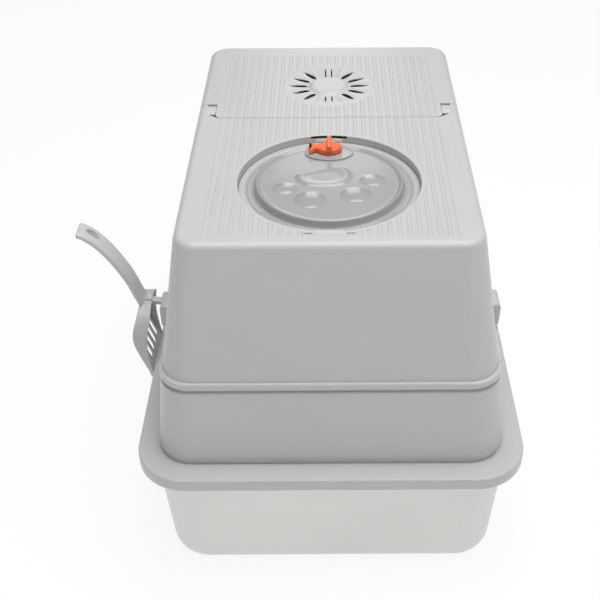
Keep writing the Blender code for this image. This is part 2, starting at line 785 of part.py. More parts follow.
def door_knob():
    """The fish-shaped turning knob: an oval body, a forked tail and an upright grip."""
    low = BOSS_Z + GAP
    high = low + KNOB_HEIGHT
    nose = KNOB_RADIUS + 0.0016
    body = []
    for step in range(25):
        turn = math.radians(-150 + 300 * step / 24)
        body.append((nose * math.cos(turn), KNOB_Y + 0.85 * KNOB_RADIUS * math.sin(turn)))
    tail = [
        (-KNOB_TAIL, KNOB_Y + 0.0088),
        (-KNOB_TAIL + 0.0035, KNOB_Y),
        (-KNOB_TAIL, KNOB_Y - 0.0088),
    ]
    knob = prism("door_knob", body + tail, low, high)
    bevel(knob, 0.0008)
    fin = [(-FIN_WIDTH / 2, KNOB_Y - 0.0125), (FIN_WIDTH / 2, KNOB_Y - 0.0125)]
    fin += [(x, KNOB_Y + 0.0145) for x, _ in fin[::-1]]
    join(knob, prism("grip_fin", fin, high - 0.001, high + FIN_HEIGHT))
    bore = ((0, KNOB_Y, low - 0.01), (0, KNOB_Y, high - 0.002))
    cut(knob, cylinder("knob_socket", SPINDLE_RADIUS + PIN_GAP, *bore))
    place_origin(knob, (0, KNOB_Y, low))
    return give(knob, "door_knob", orange_plastic())


def spindle_and_cam():
    """What turns with the knob below the door: its spindle, the cam under the ledge, the screw."""
    hub_bottom = LEDGE_Z - HOOD_WALL - 0.0007
    cam_top = hub_bottom - GAP
    cam_bottom = cam_top - CAM_THICKNESS
    knob_top = BOSS_Z + GAP + KNOB_HEIGHT
    ends = ((0, KNOB_Y, cam_bottom), (0, KNOB_Y, knob_top - 0.0026))
    spindle = cylinder("knob_spindle", SPINDLE_RADIUS, *ends)
    hole = ((0, KNOB_Y, cam_bottom - 0.01), (0, KNOB_Y, cam_bottom + 0.008))
    cut(spindle, cylinder("cam_screw_hole", SCREW_RADIUS + PIN_GAP, *hole, steps=16))
    give(spindle, "knob_spindle", grey_plastic())
    half = CAM_WIDTH / 2
    outline = [(-CAM_LENGTH, KNOB_Y - half + 0.002), (-CAM_LENGTH, KNOB_Y + half - 0.002)]
    for step in range(9):
        turn = math.pi / 2 - math.pi * step / 8
        outline.append((half * 1.2 * math.cos(turn), KNOB_Y + half * math.sin(turn)))
    cam = prism("latch_cam", outline, cam_bottom, cam_top)
    hole = ((0, KNOB_Y, cam_bottom - 0.01), (0, KNOB_Y, cam_top + 0.01))
    cut(cam, cylinder("cam_bore", SPINDLE_RADIUS + PIN_GAP, *hole))
    place_origin(cam, (0, KNOB_Y, cam_top))
    give(cam, "latch_cam", grey_plastic())
    head = cam_bottom - GAP
    profile = [
        (0, head + 0.007),
        (SCREW_RADIUS, head + 0.007),
        (SCREW_RADIUS, head),
        (0.0055, head),
        (0.0048, head - 0.0022),
        (0, head - 0.0022),
    ]
    screw = plain(turned("cam_screw", profile, (0, KNOB_Y), steps=24, closed=False))
    give(screw, "cam_screw", pin_steel())


# ---------------------------------------------------------------- vent


def vent_slot(number, count):
    """One radial slot of the vent cap, clear of the tongues on the middle line."""
    spread = (math.pi - 2 * math.radians(38.6)) / (count // 2 - 1)
    side = 1 if number < count // 2 else -1
    turn = side * (math.radians(38.6) + spread * (number % (count // 2)))
    outward = Vector((math.sin(turn), math.cos(turn)))
    across = Vector((outward.y, -outward.x))
    centre = Vector((0, VENT_Y))
    outline = []
    for reach, share in ((0.0, 0.45), (0.35, 1.0), (0.75, 0.9), (1.0, 0.3)):
        radius = VENT_SLOT_INNER + (VENT_SLOT_OUTER - VENT_SLOT_INNER) * reach
        outline.append((radius, share * VENT_SLOT_WIDTH / 2))
    outline += [(radius, -half) for radius, half in outline[::-1]]
    plan = [tuple(centre + outward * radius + across * half) for radius, half in outline]
    return prism(f"vent_slot_{number}", plan, DECK_Z - 0.02, DECK_Z + 0.02)


def vent_levels():
    """Underside of the vent cap, and the filter's bottom below it."""
    underside = DECK_Z - HOOD_WALL - 0.0004
    return underside, underside - 0.0015 - FILTER_THICKNESS


def vent_cap():
    underside, _ = vent_levels()
    profile = [
        (0, DECK_Z + 0.0008),
        (0.021, DECK_Z + 0.0008),
        (0.0235, DECK_Z - 0.0001),
        (VENT_RADIUS - 0.0004, DECK_Z - 0.0001),
        (VENT_RADIUS, DECK_Z - 0.0005),
        (VENT_RADIUS, underside),
        (0, underside),
    ]
    cap = plain(turned("vent_cap", profile, (0, VENT_Y), closed=False))
    cut(cap, *[vent_slot(number, VENT_SLOTS) for number in range(VENT_SLOTS)])
    return give(cap, "vent_cap", grey_plastic())


def filter_and_retainer():
    """The carbon pad under the vent cap, and the slotted cup that holds it there."""
    underside, bottom = vent_levels()
    ends = ((0, VENT_Y, bottom), (0, VENT_Y, bottom + FILTER_THICKNESS))
    pad = cylinder("carbon_filter", FILTER_RADIUS, *ends, steps=48)
    give(pad, "carbon_filter", carbon_foam())
    outer = VENT_RADIUS - VENT_LEDGE - 0.0008
    inner = FILTER_RADIUS + GAP
    floor = bottom - GAP
    profile = [
        (inner, underside - GAP),
        (outer, underside - GAP),
        (outer, floor - 0.002),
        (0, floor - 0.002),
        (0, floor),
        (inner, floor),
    ]
    cup = plain(turned("filter_retainer", profile, (0, VENT_Y), steps=48))
    for number in range(5):
        y = VENT_Y + (number - 2) * 0.016
        half = math.sqrt((inner - 0.006) ** 2 - (abs(y - VENT_Y) + 0.003) ** 2)
        low = (-half, y - 0.003, floor - 0.01)
        high = (half, y + 0.003, floor + 0.001)
        cut(cup, box(f"retainer_slot_{number}", low, high))
    return give(cup, "filter_retainer", grey_plastic())


# ---------------------------------------------------------------- side latches


def side_latches():
    """A lever on each side of the frame that hooks over the hood's bead."""
    for side, word in ((-1, "left"), (1, "right")):
        x, z = latch_pivot(side)
        bead = HOOD_BASE_HALF + BEAD_PROUD
        inner = side * (bead + 0.0020)
        hook = side * hood_half(HOOD_Z + BEAD_HEIGHT) + side * 0.0016
        top = HOOD_Z + BEAD_HEIGHT
        outline = []
        for step in range(7):
            turn = math.radians(180 + 180 * step / 6)
            outline.append((x + side * 0.0036 * math.cos(turn), z + 0.0036 * math.sin(turn)))
        outline += [
            (x + side * 0.0051, z + 0.006),
            (x + side * 0.0053, top - 0.006),
            (x + side * 0.0030, top + 0.0055),
            (x - side * 0.0010, top + 0.0078),
            (hook, top + 0.0055),
            (hook, top + 0.0014),
            (inner, top + 0.0012),
            (inner, z + 0.008),
        ]
        near, far = LATCH_Y - LATCH_WIDTH / 2, LATCH_Y + LATCH_WIDTH / 2
        latch = prism(f"side_latch_{word}", outline, near, far, "Y")
        bevel(latch, 0.0006, angle=50)
        cut(latch, latch_bore(side, f"latch_lever_bore_{word}"))
        place_origin(latch, (x, LATCH_Y, z))
        give(latch, f"side_latch_{word}", grey_plastic())
        reach = LATCH_WIDTH / 2 + LATCH_LUG_WIDTH
        ends = ((x, LATCH_Y - reach, z), (x, LATCH_Y + reach, z))
        pin = cylinder(f"latch_pin_{word}", LATCH_PIN_RADIUS, *ends, steps=16)
        give(pin, f"latch_pin_{word}", pin_steel())


# ---------------------------------------------------------------- scoop and hanger


def scoop_profile():
    """The bowl's side view: its outer line from the handle down to the tip, then the mouth's rim."""
    x, z = -FLANGE_HALF, FLANGE_Z
    outer = [
        (x - 0.0065, z + 0.0750),
        (x - 0.0178, z + 0.0620),
        (x - 0.0226, z + 0.0460),
        (x - 0.0220, z + 0.0300),
        (x - 0.0165, z + 0.0100),
        (x - 0.0090, z - 0.0120),
        (x - 0.0055, z - 0.0300),
    ]
    rim = [
        (x - 0.0022, z - 0.0300),
        (x - 0.0060, z + 0.0040),
        (x - 0.0070, z + 0.0250),
        (x - 0.0045, z + 0.0460),
        (x - 0.0010, z + 0.0640),
        (x - 0.0010, z + 0.0740),
    ]
    return outer, rim


def scoop_front(name, inward):
    """The bowl seen along X, moved in by the wall: a round tip, straight sides and shoulders."""
    half = SCOOP_WIDTH / 2 - inward
    neck = SCOOP_NECK_WIDTH / 2 - inward
    radius = SCOOP_TIP_RADIUS - inward
    tip = FLANGE_Z - SCOOP_TIP_DROP + inward
    shoulder = FLANGE_Z + SCOOP_SHOULDER
    turns = [math.pi / 2 * step / CORNER_STEPS for step in range(CORNER_STEPS + 1)]
    side = []
    for turn in turns:
        side.append((half - radius * (1 - math.sin(turn)), tip + radius * (1 - math.cos(turn))))
    for turn in turns:
        y = neck + (half - neck) * math.cos(turn)
        side.append((y, shoulder + (SCOOP_SHOULDER_RISE - inward) * math.sin(turn)))
    side.append((neck, FLANGE_Z + HANDLE_START + SCOOP_SHOULDER_RISE))
    outline = [(SCOOP_Y + y, z) for y, z in side] + [(SCOOP_Y - y, z) for y, z in side[::-1]]
    far = -FLANGE_HALF - SCOOP_WIDTH
    return prism(name, outline, far, -FLANGE_HALF + SCOOP_WIDTH, "X")


def bowl_cavity():
    """The hollow of the bowl: the side view moved in by the wall and run out through the mouth."""
    outer, rim = scoop_profile()
    inside = [(x + SCOOP_WALL, z) for x, z in outer[1:-1]]
    inside[0] = (inside[0][0] + 0.002, inside[0][1] + 0.006)
    inside.append((outer[-1][0] + SCOOP_WALL * 0.95, outer[-1][1] - 0.004))
    out = [(rim[0][0] + 0.02, inside[-1][1]), (rim[-2][0] + 0.02, rim[-2][1] + 0.004)]
    half = SCOOP_WIDTH / 2
    cavity = prism("bowl_cavity", inside + out, SCOOP_Y - half, SCOOP_Y + half, "Y")
    return boolean(cavity, scoop_front("cavity_front", SCOOP_WALL), "INTERSECT")


def scoop_slots():
    """Two rows of slots through the bowl's back."""
    rows = ((-0.012, 0.014), (0.020, 0.050))
    made = []
    for row, (low, high) in enumerate(rows):
        for column in range(SCOOP_SLOTS):
            y = SCOOP_Y + (column - (SCOOP_SLOTS - 1) / 2) * SCOOP_SLOT_PITCH
            near, far = y - SCOOP_SLOT_WIDTH / 2, y + SCOOP_SLOT_WIDTH / 2
            x = -FLANGE_HALF
            corners = ((x - 0.04, near, FLANGE_Z + low), (x + 0.001, far, FLANGE_Z + high))
            made.append(box(f"scoop_slot_{row}_{column}", *corners))
    return made


def handle_centre():
    """The handle's middle line as (x, z), from inside the bowl's top to the tip."""
    x, z = -FLANGE_HALF, FLANGE_Z
    return [
        (x - 0.0100, z + HANDLE_START),
        (x - 0.0168, z + 0.0810),
        (x - 0.0245, z + 0.1040),
        (x - 0.0340, z + 0.1240),
        (x - 0.0450, z + 0.1430),
        (x - 0.0575, z + 0.1590),
        (x - 0.0690, z + 0.1690),
        (x - 0.0780, z + 0.1730),
    ]


def handle_section(centre, along, width, thickness):
    """A flat oval round a point of the handle, square to the direction along."""
    across = Vector((along.z, 0, -along.x))
    points = []
    for step in range(12):
        turn = 2 * math.pi * (step + 0.5) / 12
        wide = math.copysign(abs(math.cos(turn)) ** 0.6, math.cos(turn)) * width / 2
        thick = math.copysign(abs(math.sin(turn)) ** 0.6, math.sin(turn)) * thickness / 2
        points.append(centre + Vector((0, wide, 0)) + across * thick)
    return points


def handle_solid():
    line = [Vector((x, SCOOP_Y, z)) for x, z in handle_centre()]
    rings = []
    for number, point in enumerate(line):
        before = line[max(number - 1, 0)]
        after = line[min(number + 1, len(line) - 1)]
        end = 0.8 if number == len(line) - 1 else 1.0
        along = (after - before).normalized()
        rings.append(handle_section(point, along, HANDLE_WIDTH * end, HANDLE_THICKNESS * end))
    return object_of("handle_solid", loft("handle_solid", rings))


def handle_hole():
    """The long hole near the handle's tip, square to the handle."""
    line = [Vector((x, SCOOP_Y, z)) for x, z in handle_centre()]
    centre = (line[-3] + line[-2]) / 2
    along = (line[-2] - line[-3]).normalized()
    across = Vector((along.z, 0, -along.x))
    bm = bmesh.new()
    bmesh.ops.create_cone(bm, cap_ends=True, segments=20, radius1=0.0055, radius2=0.0055, depth=0.03)
    turn = Matrix((along, Vector((0, 1, 0)), across)).transposed().to_4x4()
    stretch = Matrix.Scale(1.7, 4, Vector((1, 0, 0)))
    bmesh.ops.transform(bm, matrix=Matrix.Translation(centre) @ turn @ stretch, verts=bm.verts)
    return object_of("handle_hole", mesh_from("handle_hole", bm))


def hook_levels():
    """X of the hanger's back and pocket, and z of the hook's top."""
    back = -frame_half(HANGER_Z) - GAP
    pocket = back - 0.0045
    return back, pocket, HANGER_Z + HANGER_HEIGHT + HOOK_THICKNESS + GAP


def hook():
    """The bar from the scoop's neck to the hanger, with a tongue turned down into it."""
    _, pocket, top = hook_levels()
    neck = -FLANGE_HALF - 0.006
    outline = [
        (neck - 0.004, top + 0.004),
        (pocket + 0.0002, top),
        (pocket + 0.0002, HANGER_Z + 0.011),
        (pocket - 0.0022, HANGER_Z + 0.011),
        (pocket - 0.0022, top - HOOK_THICKNESS),
        (neck - 0.004, top + 0.004 - 0.0055),
    ]
    return prism("hook", outline, SCOOP_Y - HOOK_WIDTH / 2, SCOOP_Y + HOOK_WIDTH / 2, "Y")


def scoop():
    outer, rim = scoop_profile()
    half = SCOOP_WIDTH / 2
    bowl = prism("scoop", outer + rim, SCOOP_Y - half, SCOOP_Y + half, "Y")
    bevel(bowl, 0.0015, angle=60)
    boolean(bowl, scoop_front("bowl_front", 0.0), "INTERSECT")
    cut(bowl, bowl_cavity(), *scoop_slots())
    join(bowl, handle_solid())
    cut(bowl, handle_hole())
    join(bowl, hook())
    return give(bowl, "scoop", grey_plastic())


def scoop_hanger():
    """A pocket on the frame's wall, open at the top, and its two screws."""
    back, pocket, _ = hook_levels()
    face = back - HANGER_DEPTH
    low, high = HANGER_Z, HANGER_Z + HANGER_HEIGHT
    lean = FRAME_LEAN / FRAME_HEIGHT * HANGER_HEIGHT
    outline = [(back, low), (back + lean, high), (face + 0.002, high), (face, high - 0.002)]
    outline += [(face, low + 0.004), (face + 0.004, low)]
    near, far = SCOOP_Y - HANGER_WIDTH / 2, SCOOP_Y + HANGER_WIDTH / 2
    hanger = prism("scoop_hanger", outline, near, far, "Y")
    half = HOOK_WIDTH / 2 + 0.0008
    corners = ((pocket - 0.0030, SCOOP_Y - half, low + 0.010), (pocket + 0.0010, SCOOP_Y + half, high + 0.01))
    cut(hanger, box("hanger_pocket", *corners))
    for number, (y, z) in enumerate(hanger_screw_places()):
        inner = -frame_half(z) + PLASTIC + 0.003
        bore = ((face - 0.005, y, z), (inner, y, z))
        cut(hanger, cylinder(f"hanger_bore_{number}", SCREW_RADIUS + PIN_GAP, *bore, steps=16))
        shank = ((face - GAP - 0.0008, y, z), (inner, y, z))
        screw = cylinder(f"hanger_screw_{number + 1}", SCREW_RADIUS, *shank, steps=16)
        head = ((face - GAP - 0.0016, y, z), (face - GAP, y, z))
        join(screw, cylinder(f"screw_head_{number}", 0.0031, *head, steps=16))
        give(screw, f"hanger_screw_{number + 1}", pin_steel())
    return give(hanger, "scoop_hanger", grey_plastic())


def build():
    litter_pan()
    guard_frame()
    rear_hood()
    front_hood()
    flap_pins()
    top_door()
    door_hinge_pin()
    door_knob()
    spindle_and_cam()
    vent_cap()
    filter_and_retainer()
    side_latches()
    scoop_hanger()
    scoop()


build()
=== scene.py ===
"""Looks of a hooded cat litter box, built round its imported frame.

Metres, +Z up. The origin is on the floor under the middle of the pan, +Y points to the cat's
entrance and the scoop hangs on the -X side. Sizes come from the frame's boxes where it has them.
"""

import json
import math

import bmesh
import bpy
from mathutils import Matrix, Vector


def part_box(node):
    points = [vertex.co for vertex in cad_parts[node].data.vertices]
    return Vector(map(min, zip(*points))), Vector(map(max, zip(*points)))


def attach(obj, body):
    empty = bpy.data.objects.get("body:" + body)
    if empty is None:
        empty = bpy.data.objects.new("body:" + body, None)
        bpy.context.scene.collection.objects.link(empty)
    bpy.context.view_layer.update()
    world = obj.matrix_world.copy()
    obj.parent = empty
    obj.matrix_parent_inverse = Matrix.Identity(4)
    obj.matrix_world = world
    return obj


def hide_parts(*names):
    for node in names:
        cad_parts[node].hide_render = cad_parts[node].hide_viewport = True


bl_info = {
    "name": "Hooded Cat Litter Box",
    "version": (1, 0, 0),
    "blender": (4, 5, 0),
    "location": "View3D > Sidebar > Litter Box",
    "description": "Builds the pan, frame, hood, door, vent and scoop of a hooded cat litter box",
    "category": "Object",
}

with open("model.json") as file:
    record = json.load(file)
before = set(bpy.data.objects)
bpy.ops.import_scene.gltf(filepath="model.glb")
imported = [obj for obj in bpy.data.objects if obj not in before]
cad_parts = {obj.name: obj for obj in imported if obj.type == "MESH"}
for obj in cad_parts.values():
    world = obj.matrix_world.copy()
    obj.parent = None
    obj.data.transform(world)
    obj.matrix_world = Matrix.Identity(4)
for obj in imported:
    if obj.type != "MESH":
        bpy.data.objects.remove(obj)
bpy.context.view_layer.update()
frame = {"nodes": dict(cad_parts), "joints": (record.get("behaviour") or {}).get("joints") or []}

# Levels and widths read from the frame
PAN_LOW, PAN_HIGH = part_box("litter_pan")
COVER_LOW, COVER_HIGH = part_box("guard_frame")
REAR_LOW, REAR_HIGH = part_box("rear_hood")
FLAP_LOW, FLAP_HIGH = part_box("front_hood")
DOOR_LOW, DOOR_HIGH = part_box("top_door")
VENT_LOW, VENT_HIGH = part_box("vent_cap")
SCOOP_LOW, SCOOP_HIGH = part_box("scoop")
HANGER_LOW, HANGER_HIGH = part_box("scoop_hanger")
JOINTS = {joint["name"]: joint for joint in frame["joints"]}

END_EXTRA = 2 * (PAN_HIGH.y - PAN_HIGH.x)
PLASTIC = 0.0028
REST_GAP = 0.0004
PAN_STEEL = 0.0012
PAN_RIM = 0.0135
PAN_HALF = PAN_HIGH.x - PAN_RIM
PAN_DEPTH = PAN_HIGH.z - PAN_STEEL
FLANGE_Z = PAN_HIGH.z + REST_GAP + PLASTIC
FLANGE_HALF = COVER_HIGH.x
FRAME_TOP_Z = REAR_LOW.z - REST_GAP
RIM_Z = REAR_LOW.z
DECK_Z = REAR_HIGH.z
BEAD_HALF = REAR_HIGH.x
DOOR_RADIUS = DOOR_HIGH.x
DOOR_EDGE_GAP = 0.0008
HATCH_RADIUS = DOOR_RADIUS + DOOR_EDGE_GAP
HATCH_Y = DOOR_HIGH.y - DOOR_RADIUS
VENT_RADIUS = VENT_HIGH.x
VENT_Y = (VENT_LOW.y + VENT_HIGH.y) / 2
SEAM_EDGE = 0.0006
SEAM_Y = FLAP_LOW.y - SEAM_EDGE
FLAP_AXIS = Vector(JOINTS["flap_hinge"]["pos_m"])
DOOR_AXIS = Vector(JOINTS["door_hinge"]["pos_m"])
KNOB_AXIS = Vector(JOINTS["knob_turn"]["pos_m"])

# Sizes that two or more pieces share
STRIKE_LEFT, STRIKE_RIGHT = -0.0210, 0.0205
HINGE_LUG_RADIUS = 0.0043
ABOVE_DECK = 0.010
SCOOP_TIP_DROP = 0.030
SCOOP_Y = (HANGER_LOW.y + HANGER_HIGH.y) / 2
SCOOP_HALF = (SCOOP_HIGH.y - SCOOP_LOW.y) / 2
HANGER_DEPTH = 0.0105
HOOK_HALF_WIDTH = 0.005
HOOK_THICKNESS = 0.0045
HOOK_TONGUE = 0.0022
HOOK_FIT = 0.0008
POCKET_X = HANGER_LOW.x + HANGER_DEPTH - 0.0045
POCKET_FLOOR = 0.010
HOLE_RADIUS = 0.0055
HOLE_STRETCH = 1.7


# Sizes a user would change


def length(name, description, default):
    return bpy.props.FloatProperty(
        name=name, description=description, default=default, min=0.0, unit="LENGTH", precision=5
    )


def angle(name, description, degrees):
    return bpy.props.FloatProperty(
        name=name, description=description, default=math.radians(degrees), subtype="ANGLE"
    )


def tone(name, description, default):
    return bpy.props.FloatVectorProperty(
        name=name, description=description, default=default, size=3, min=0.0, max=1.0, subtype="COLOR"
    )


def factor(name, description, default):
    return bpy.props.FloatProperty(
        name=name, description=description, default=default, min=0.0, max=1.0, subtype="FACTOR"
    )


class LitterPanSizes(bpy.types.PropertyGroup):
    """The deep-drawn steel pan."""

    corner: length("Corner", "Radius of the pan's upright corners", 0.045)
    lean: length("Lean", "How far each wall leans in from rim to floor", 0.0092)
    bottom_radius: length("Bottom radius", "Round between the walls and the floor", 0.028)
    curl: length("Curl", "Height of the rim's turned-down edge", 0.004)


class GuardFrameSizes(bpy.types.PropertyGroup):
    """The collar between pan and hood."""

    inset: length("Wall inset", "Wall's foot inside the pan's edge", 0.00575)
    lean: length("Lean", "How far the wall leans in from foot to top", 0.0115)
    corner: length("Corner", "Radius of the wall's corners", 0.040)
    skirt_corner: length("Skirt corner", "Radius of the flange's corners", 0.058)
    skirt_drop: length("Skirt drop", "Height of the flange's edge", 0.0162)
    edge: length("Flange edge", "Round between the flange's top and its edge", 0.0022)
    foot_height: length("Foot height", "Height over which the wall's foot rounds inwards", 0.013)
    foot_inset: length("Foot inset", "How far the wall's foot rounds inwards", 0.0026)
    shadow_groove: length("Shadow groove", "Depth of the step under the hood's rim", 0.0022)
    groove_height: length("Groove height", "Height of the step under the hood's rim", 0.0042)


class HoodSizes(bpy.types.PropertyGroup):
    """The two shells of the hood."""

    wall: length("Wall", "Thickness of the moulded wall", 0.0026)
    lean: length("Lean", "How far each wall leans in from rim to deck", 0.0275)
    corner: length("Corner", "Radius of the upright corners at the rim", 0.036)
    top_corner: length("Top corner", "Radius of the upright corners at the deck", 0.025)
    edge: length("Deck edge", "Round between the walls and the deck", 0.008)
    bead_proud: length("Bead proud", "How far the rim's bead stands out", 0.0023)
    bead_height: length("Bead height", "Height of the rim's bead", 0.0081)
    seam_gap: length("Seam gap", "Gap between the two shells", 0.0007)
    ear_width: length("Ear width", "Width of each ear beside its notch", 0.009)
    ear_depth: length("Ear depth", "How far the ears reach past the seam", 0.035)
    notch_width: length("Notch width", "Width of the notch at each ear", 0.0115)


class DeckGrooveSizes(bpy.types.PropertyGroup):
    """The fine grooves along the deck."""

    count: bpy.props.IntProperty(name="Count", description="Grooves of each kind", default=26, min=1)
    pitch: length("Pitch", "Distance between grooves of one kind", 0.010)
    wide: length("Wide groove", "Width of the deeper grooves", 0.0014)
    narrow: length("Narrow groove", "Width of the finer grooves", 0.0011)
    hatch_margin: length("Hatch margin", "Smooth border round the hatch", 0.0045)
    vent_margin: length("Vent margin", "Smooth border round the vent", 0.003)


class EntranceSizes(bpy.types.PropertyGroup):
    """The arch that the cat walks through."""

    width: length("Width", "Width of the arch", 0.200)
    sill: length("Sill", "Height of the sill above the flange", 0.034)
    head: length("Head", "Depth of the arch's top below the deck", 0.050)
    radius: length("Radius", "Radius of the arch's upper corners", 0.060)


class DoorSizes(bpy.types.PropertyGroup):
    """The round door in the hood's hatch."""

    wall: length("Wall", "Thickness of the door", 0.0022)
    ledge_width: length("Ledge width", "Width of the ledge the lip rests on", 0.0065)
    recess_depth: length("Recess depth", "Depth of the ledge below the deck", 0.0111)
    crown_radius: length("Crown radius", "Radius of the raised inner rim", 0.079)
    paw_height: length("Paw height", "Height of the raised pads", 0.0021)
    boss_radius: length("Boss radius", "Radius of the disc under the knob", 0.0275)


class VentSizes(bpy.types.PropertyGroup):
    """The round vent cap."""

    slots: bpy.props.IntProperty(name="Slots", description="Radial slots", default=10, min=2)
    slot_inner: length("Slot start", "Radius where the slots start", 0.0265)
    slot_outer: length("Slot end", "Radius where the slots end", 0.0500)
    slot_width: length("Slot width", "Widest part of a slot", 0.0066)
    spread: angle("Slot spread", "Angle between neighbouring slots", 25.7)
    button: length("Button", "Radius of the smooth middle", 0.0225)
    petal: length("Petal height", "Height of the ridges between slots", 0.0012)
    dish: length("Dish", "How far the petals slope down to the button", 0.0014)


class ScoopSizes(bpy.types.PropertyGroup):
    """The hanging scoop."""

    wall: length("Wall", "Thickness of the bowl", 0.0022)
    slot_width: length("Slot width", "Width of a sifting slot", 0.0098)
    slot_pitch: length("Slot pitch", "Distance between sifting slots", 0.0145)
    neck_width: length("Neck width", "Width of the bowl at the handle", 0.012)
    shoulder: length("Shoulder", "Height above the flange where the sides round in", 0.036)
    shoulder_rise: length("Shoulder rise", "Height of the rounded shoulders", 0.036)
    tip_radius: length("Tip radius", "Round of the tip's corners", 0.012)
    handle_width: length("Handle width", "Width of the handle", 0.028)
    handle_thickness: length("Handle thickness", "Thickness of the handle", 0.0088)


class FinishSettings(bpy.types.PropertyGroup):
    """Colours and gloss of the finishes."""

    plastic: tone("Plastic", "Light grey moulded plastic", (0.60, 0.60, 0.60))
    plastic_rough: factor("Plastic roughness", "Roughness of the moulded plastic", 0.34)
    steel: tone("Pan steel", "Satin stainless steel", (0.66, 0.645, 0.63))
    steel_rough: factor("Steel roughness", "Roughness of the pan", 0.36)
    smoked: tone("Smoked plastic", "Translucent door", (0.43, 0.437, 0.45))
    orange: tone("Orange", "The knob's plastic", (1.0, 0.155, 0.035))


class StudioSettings(bpy.types.PropertyGroup):
    """Camera, floor and lights."""

    camera_place: bpy.props.FloatVectorProperty(
        name="Camera", description="Place of the camera", default=(0.0, -1.0395, 1.0027), unit="LENGTH"
    )
    camera_tilt: angle("Camera tilt", "Angle of the view below level", 37.76)
    camera_lens: bpy.props.FloatProperty(name="Lens", description="Focal length in mm", default=59.54)
    camera_roll: angle("Camera roll", "Turn of the camera about its own view", -0.35)
    camera_shift: bpy.props.FloatProperty(name="Shift", description="Sideways lens shift", default=-0.0501)
    sky: factor("Sky", "Brightness of the surroundings", 0.11)
    overhead: bpy.props.FloatProperty(
        name="Overhead", description="Watts of the overhead light", default=68.0
    )
    card: bpy.props.FloatProperty(name="Card", description="Brightness of the card behind", default=1.8)


# Mesh helpers


def mesh_of(name, bm, recalculate=True):
    if recalculate:
        bmesh.ops.recalc_face_normals(bm, faces=bm.faces)
    mesh = bpy.data.meshes.new(name)
    bm.to_mesh(mesh)
    bm.free()
    return mesh


def object_of(name, mesh):
    obj = bpy.data.objects.new(name, mesh)
    bpy.context.scene.collection.objects.link(obj)
    return obj


def ring(half, radius, z, steps=14):
    """Points round a rounded rectangle of the box's plan at height z."""
    half_length = half + END_EXTRA / 2
    points = []
    for quarter, (sx, sy) in enumerate(((1, 1), (-1, 1), (-1, -1), (1, -1))):
        for step in range(steps + 1):
            turn = math.pi / 2 * (quarter + step / steps)
            x = sx * (half - radius) + radius * math.cos(turn)
            y = sy * (half_length - radius) + radius * math.sin(turn)
            points.append(Vector((x, y, z)))
    return points


def loft(name, rings, endless=False, capped=True):
    """A body through rings of equally many points."""
    bm = bmesh.new()
    loops = [[bm.verts.new(point) for point in points] for points in rings]
    count = len(rings[0])
    for below, above in zip(loops, loops[1:] + loops[:1] * endless):
        for i in range(count):
            j = (i + 1) % count
            bm.faces.new((below[i], below[j], above[j], above[i]))
    if capped and not endless:
        bm.faces.new(loops[0][::-1])
        bm.faces.new(loops[-1])
    return object_of(name, mesh_of(name, bm))


def prism(name, outline, low, high, axis="Z"):
    """A flat outline pushed from low to high along an axis; the outline is in the other two axes."""
    bm = bmesh.new()
    place = {
        "X": lambda a, b: (low, a, b),
        "Y": lambda a, b: (a, low, b),
        "Z": lambda a, b: (a, b, low),
    }[axis]
    along = {"X": (1, 0, 0), "Y": (0, 1, 0), "Z": (0, 0, 1)}[axis]
    face = bm.faces.new([bm.verts.new(place(a, b)) for a, b in outline])
    pushed = bmesh.ops.extrude_face_region(bm, geom=[face])["geom"]
    moved = [item for item in pushed if isinstance(item, bmesh.types.BMVert)]
    bmesh.ops.translate(bm, vec=Vector(along) * (high - low), verts=moved)
    return object_of(name, mesh_of(name, bm))


def box(name, low, high):
    bm = bmesh.new()
    bmesh.ops.create_cube(bm, size=1.0)
    bmesh.ops.scale(bm, vec=Vector(high) - Vector(low), verts=bm.verts)
    bmesh.ops.translate(bm, vec=(Vector(high) + Vector(low)) / 2, verts=bm.verts)
    return object_of(name, mesh_of(name, bm))


def cylinder(name, radius, start, end, steps=48):
    start, end = Vector(start), Vector(end)
    bm = bmesh.new()
    bmesh.ops.create_cone(
        bm,
        cap_ends=True,
        segments=steps,
        radius1=radius,
        radius2=radius,
        depth=(end - start).length,
    )
    turn = (end - start).to_track_quat("Z", "Y").to_matrix().to_4x4()
    bmesh.ops.transform(bm, matrix=Matrix.Translation((start + end) / 2) @ turn, verts=bm.verts)
    return object_of(name, mesh_of(name, bm))


def turned(name, profile, centre, steps=128):
    """A closed profile of (radius, z) turned about the upright line through centre (x, y)."""
    bm = bmesh.new()
    on_axis = 1e-7
    columns = []
    for step in range(steps):
        turn = 2 * math.pi * step / steps
        columns.append((math.cos(turn), math.sin(turn)))
    loops = []
    for radius, z in profile:
        if radius < on_axis:
            loops.append([bm.verts.new((centre[0], centre[1], z))])
            continue
        points = [(centre[0] + radius * c, centre[1] + radius * s, z) for c, s in columns]
        loops.append([bm.verts.new(point) for point in points])
    pairs = list(zip(loops, loops[1:]))
    if len(loops[0]) > 1 and len(loops[-1]) > 1:
        pairs.append((loops[-1], loops[0]))
    for first, second in pairs:
        for i in range(steps):
            j = (i + 1) % steps
            corners = [first[i % len(first)], first[j % len(first)]]
            corners += [second[j % len(second)], second[i % len(second)]]
            corners = list(dict.fromkeys(corners))
            if len(corners) > 2:
                bm.faces.new(corners)
    return object_of(name, mesh_of(name, bm))


def arc(centre, radius, start, end, steps=8):
    """Points (a, b) on an arc between two angles in degrees."""
    points = []
    for step in range(steps + 1):
        turn = math.radians(start + (end - start) * step / steps)
        points.append((centre[0] + radius * math.cos(turn), centre[1] + radius * math.sin(turn)))
    return points


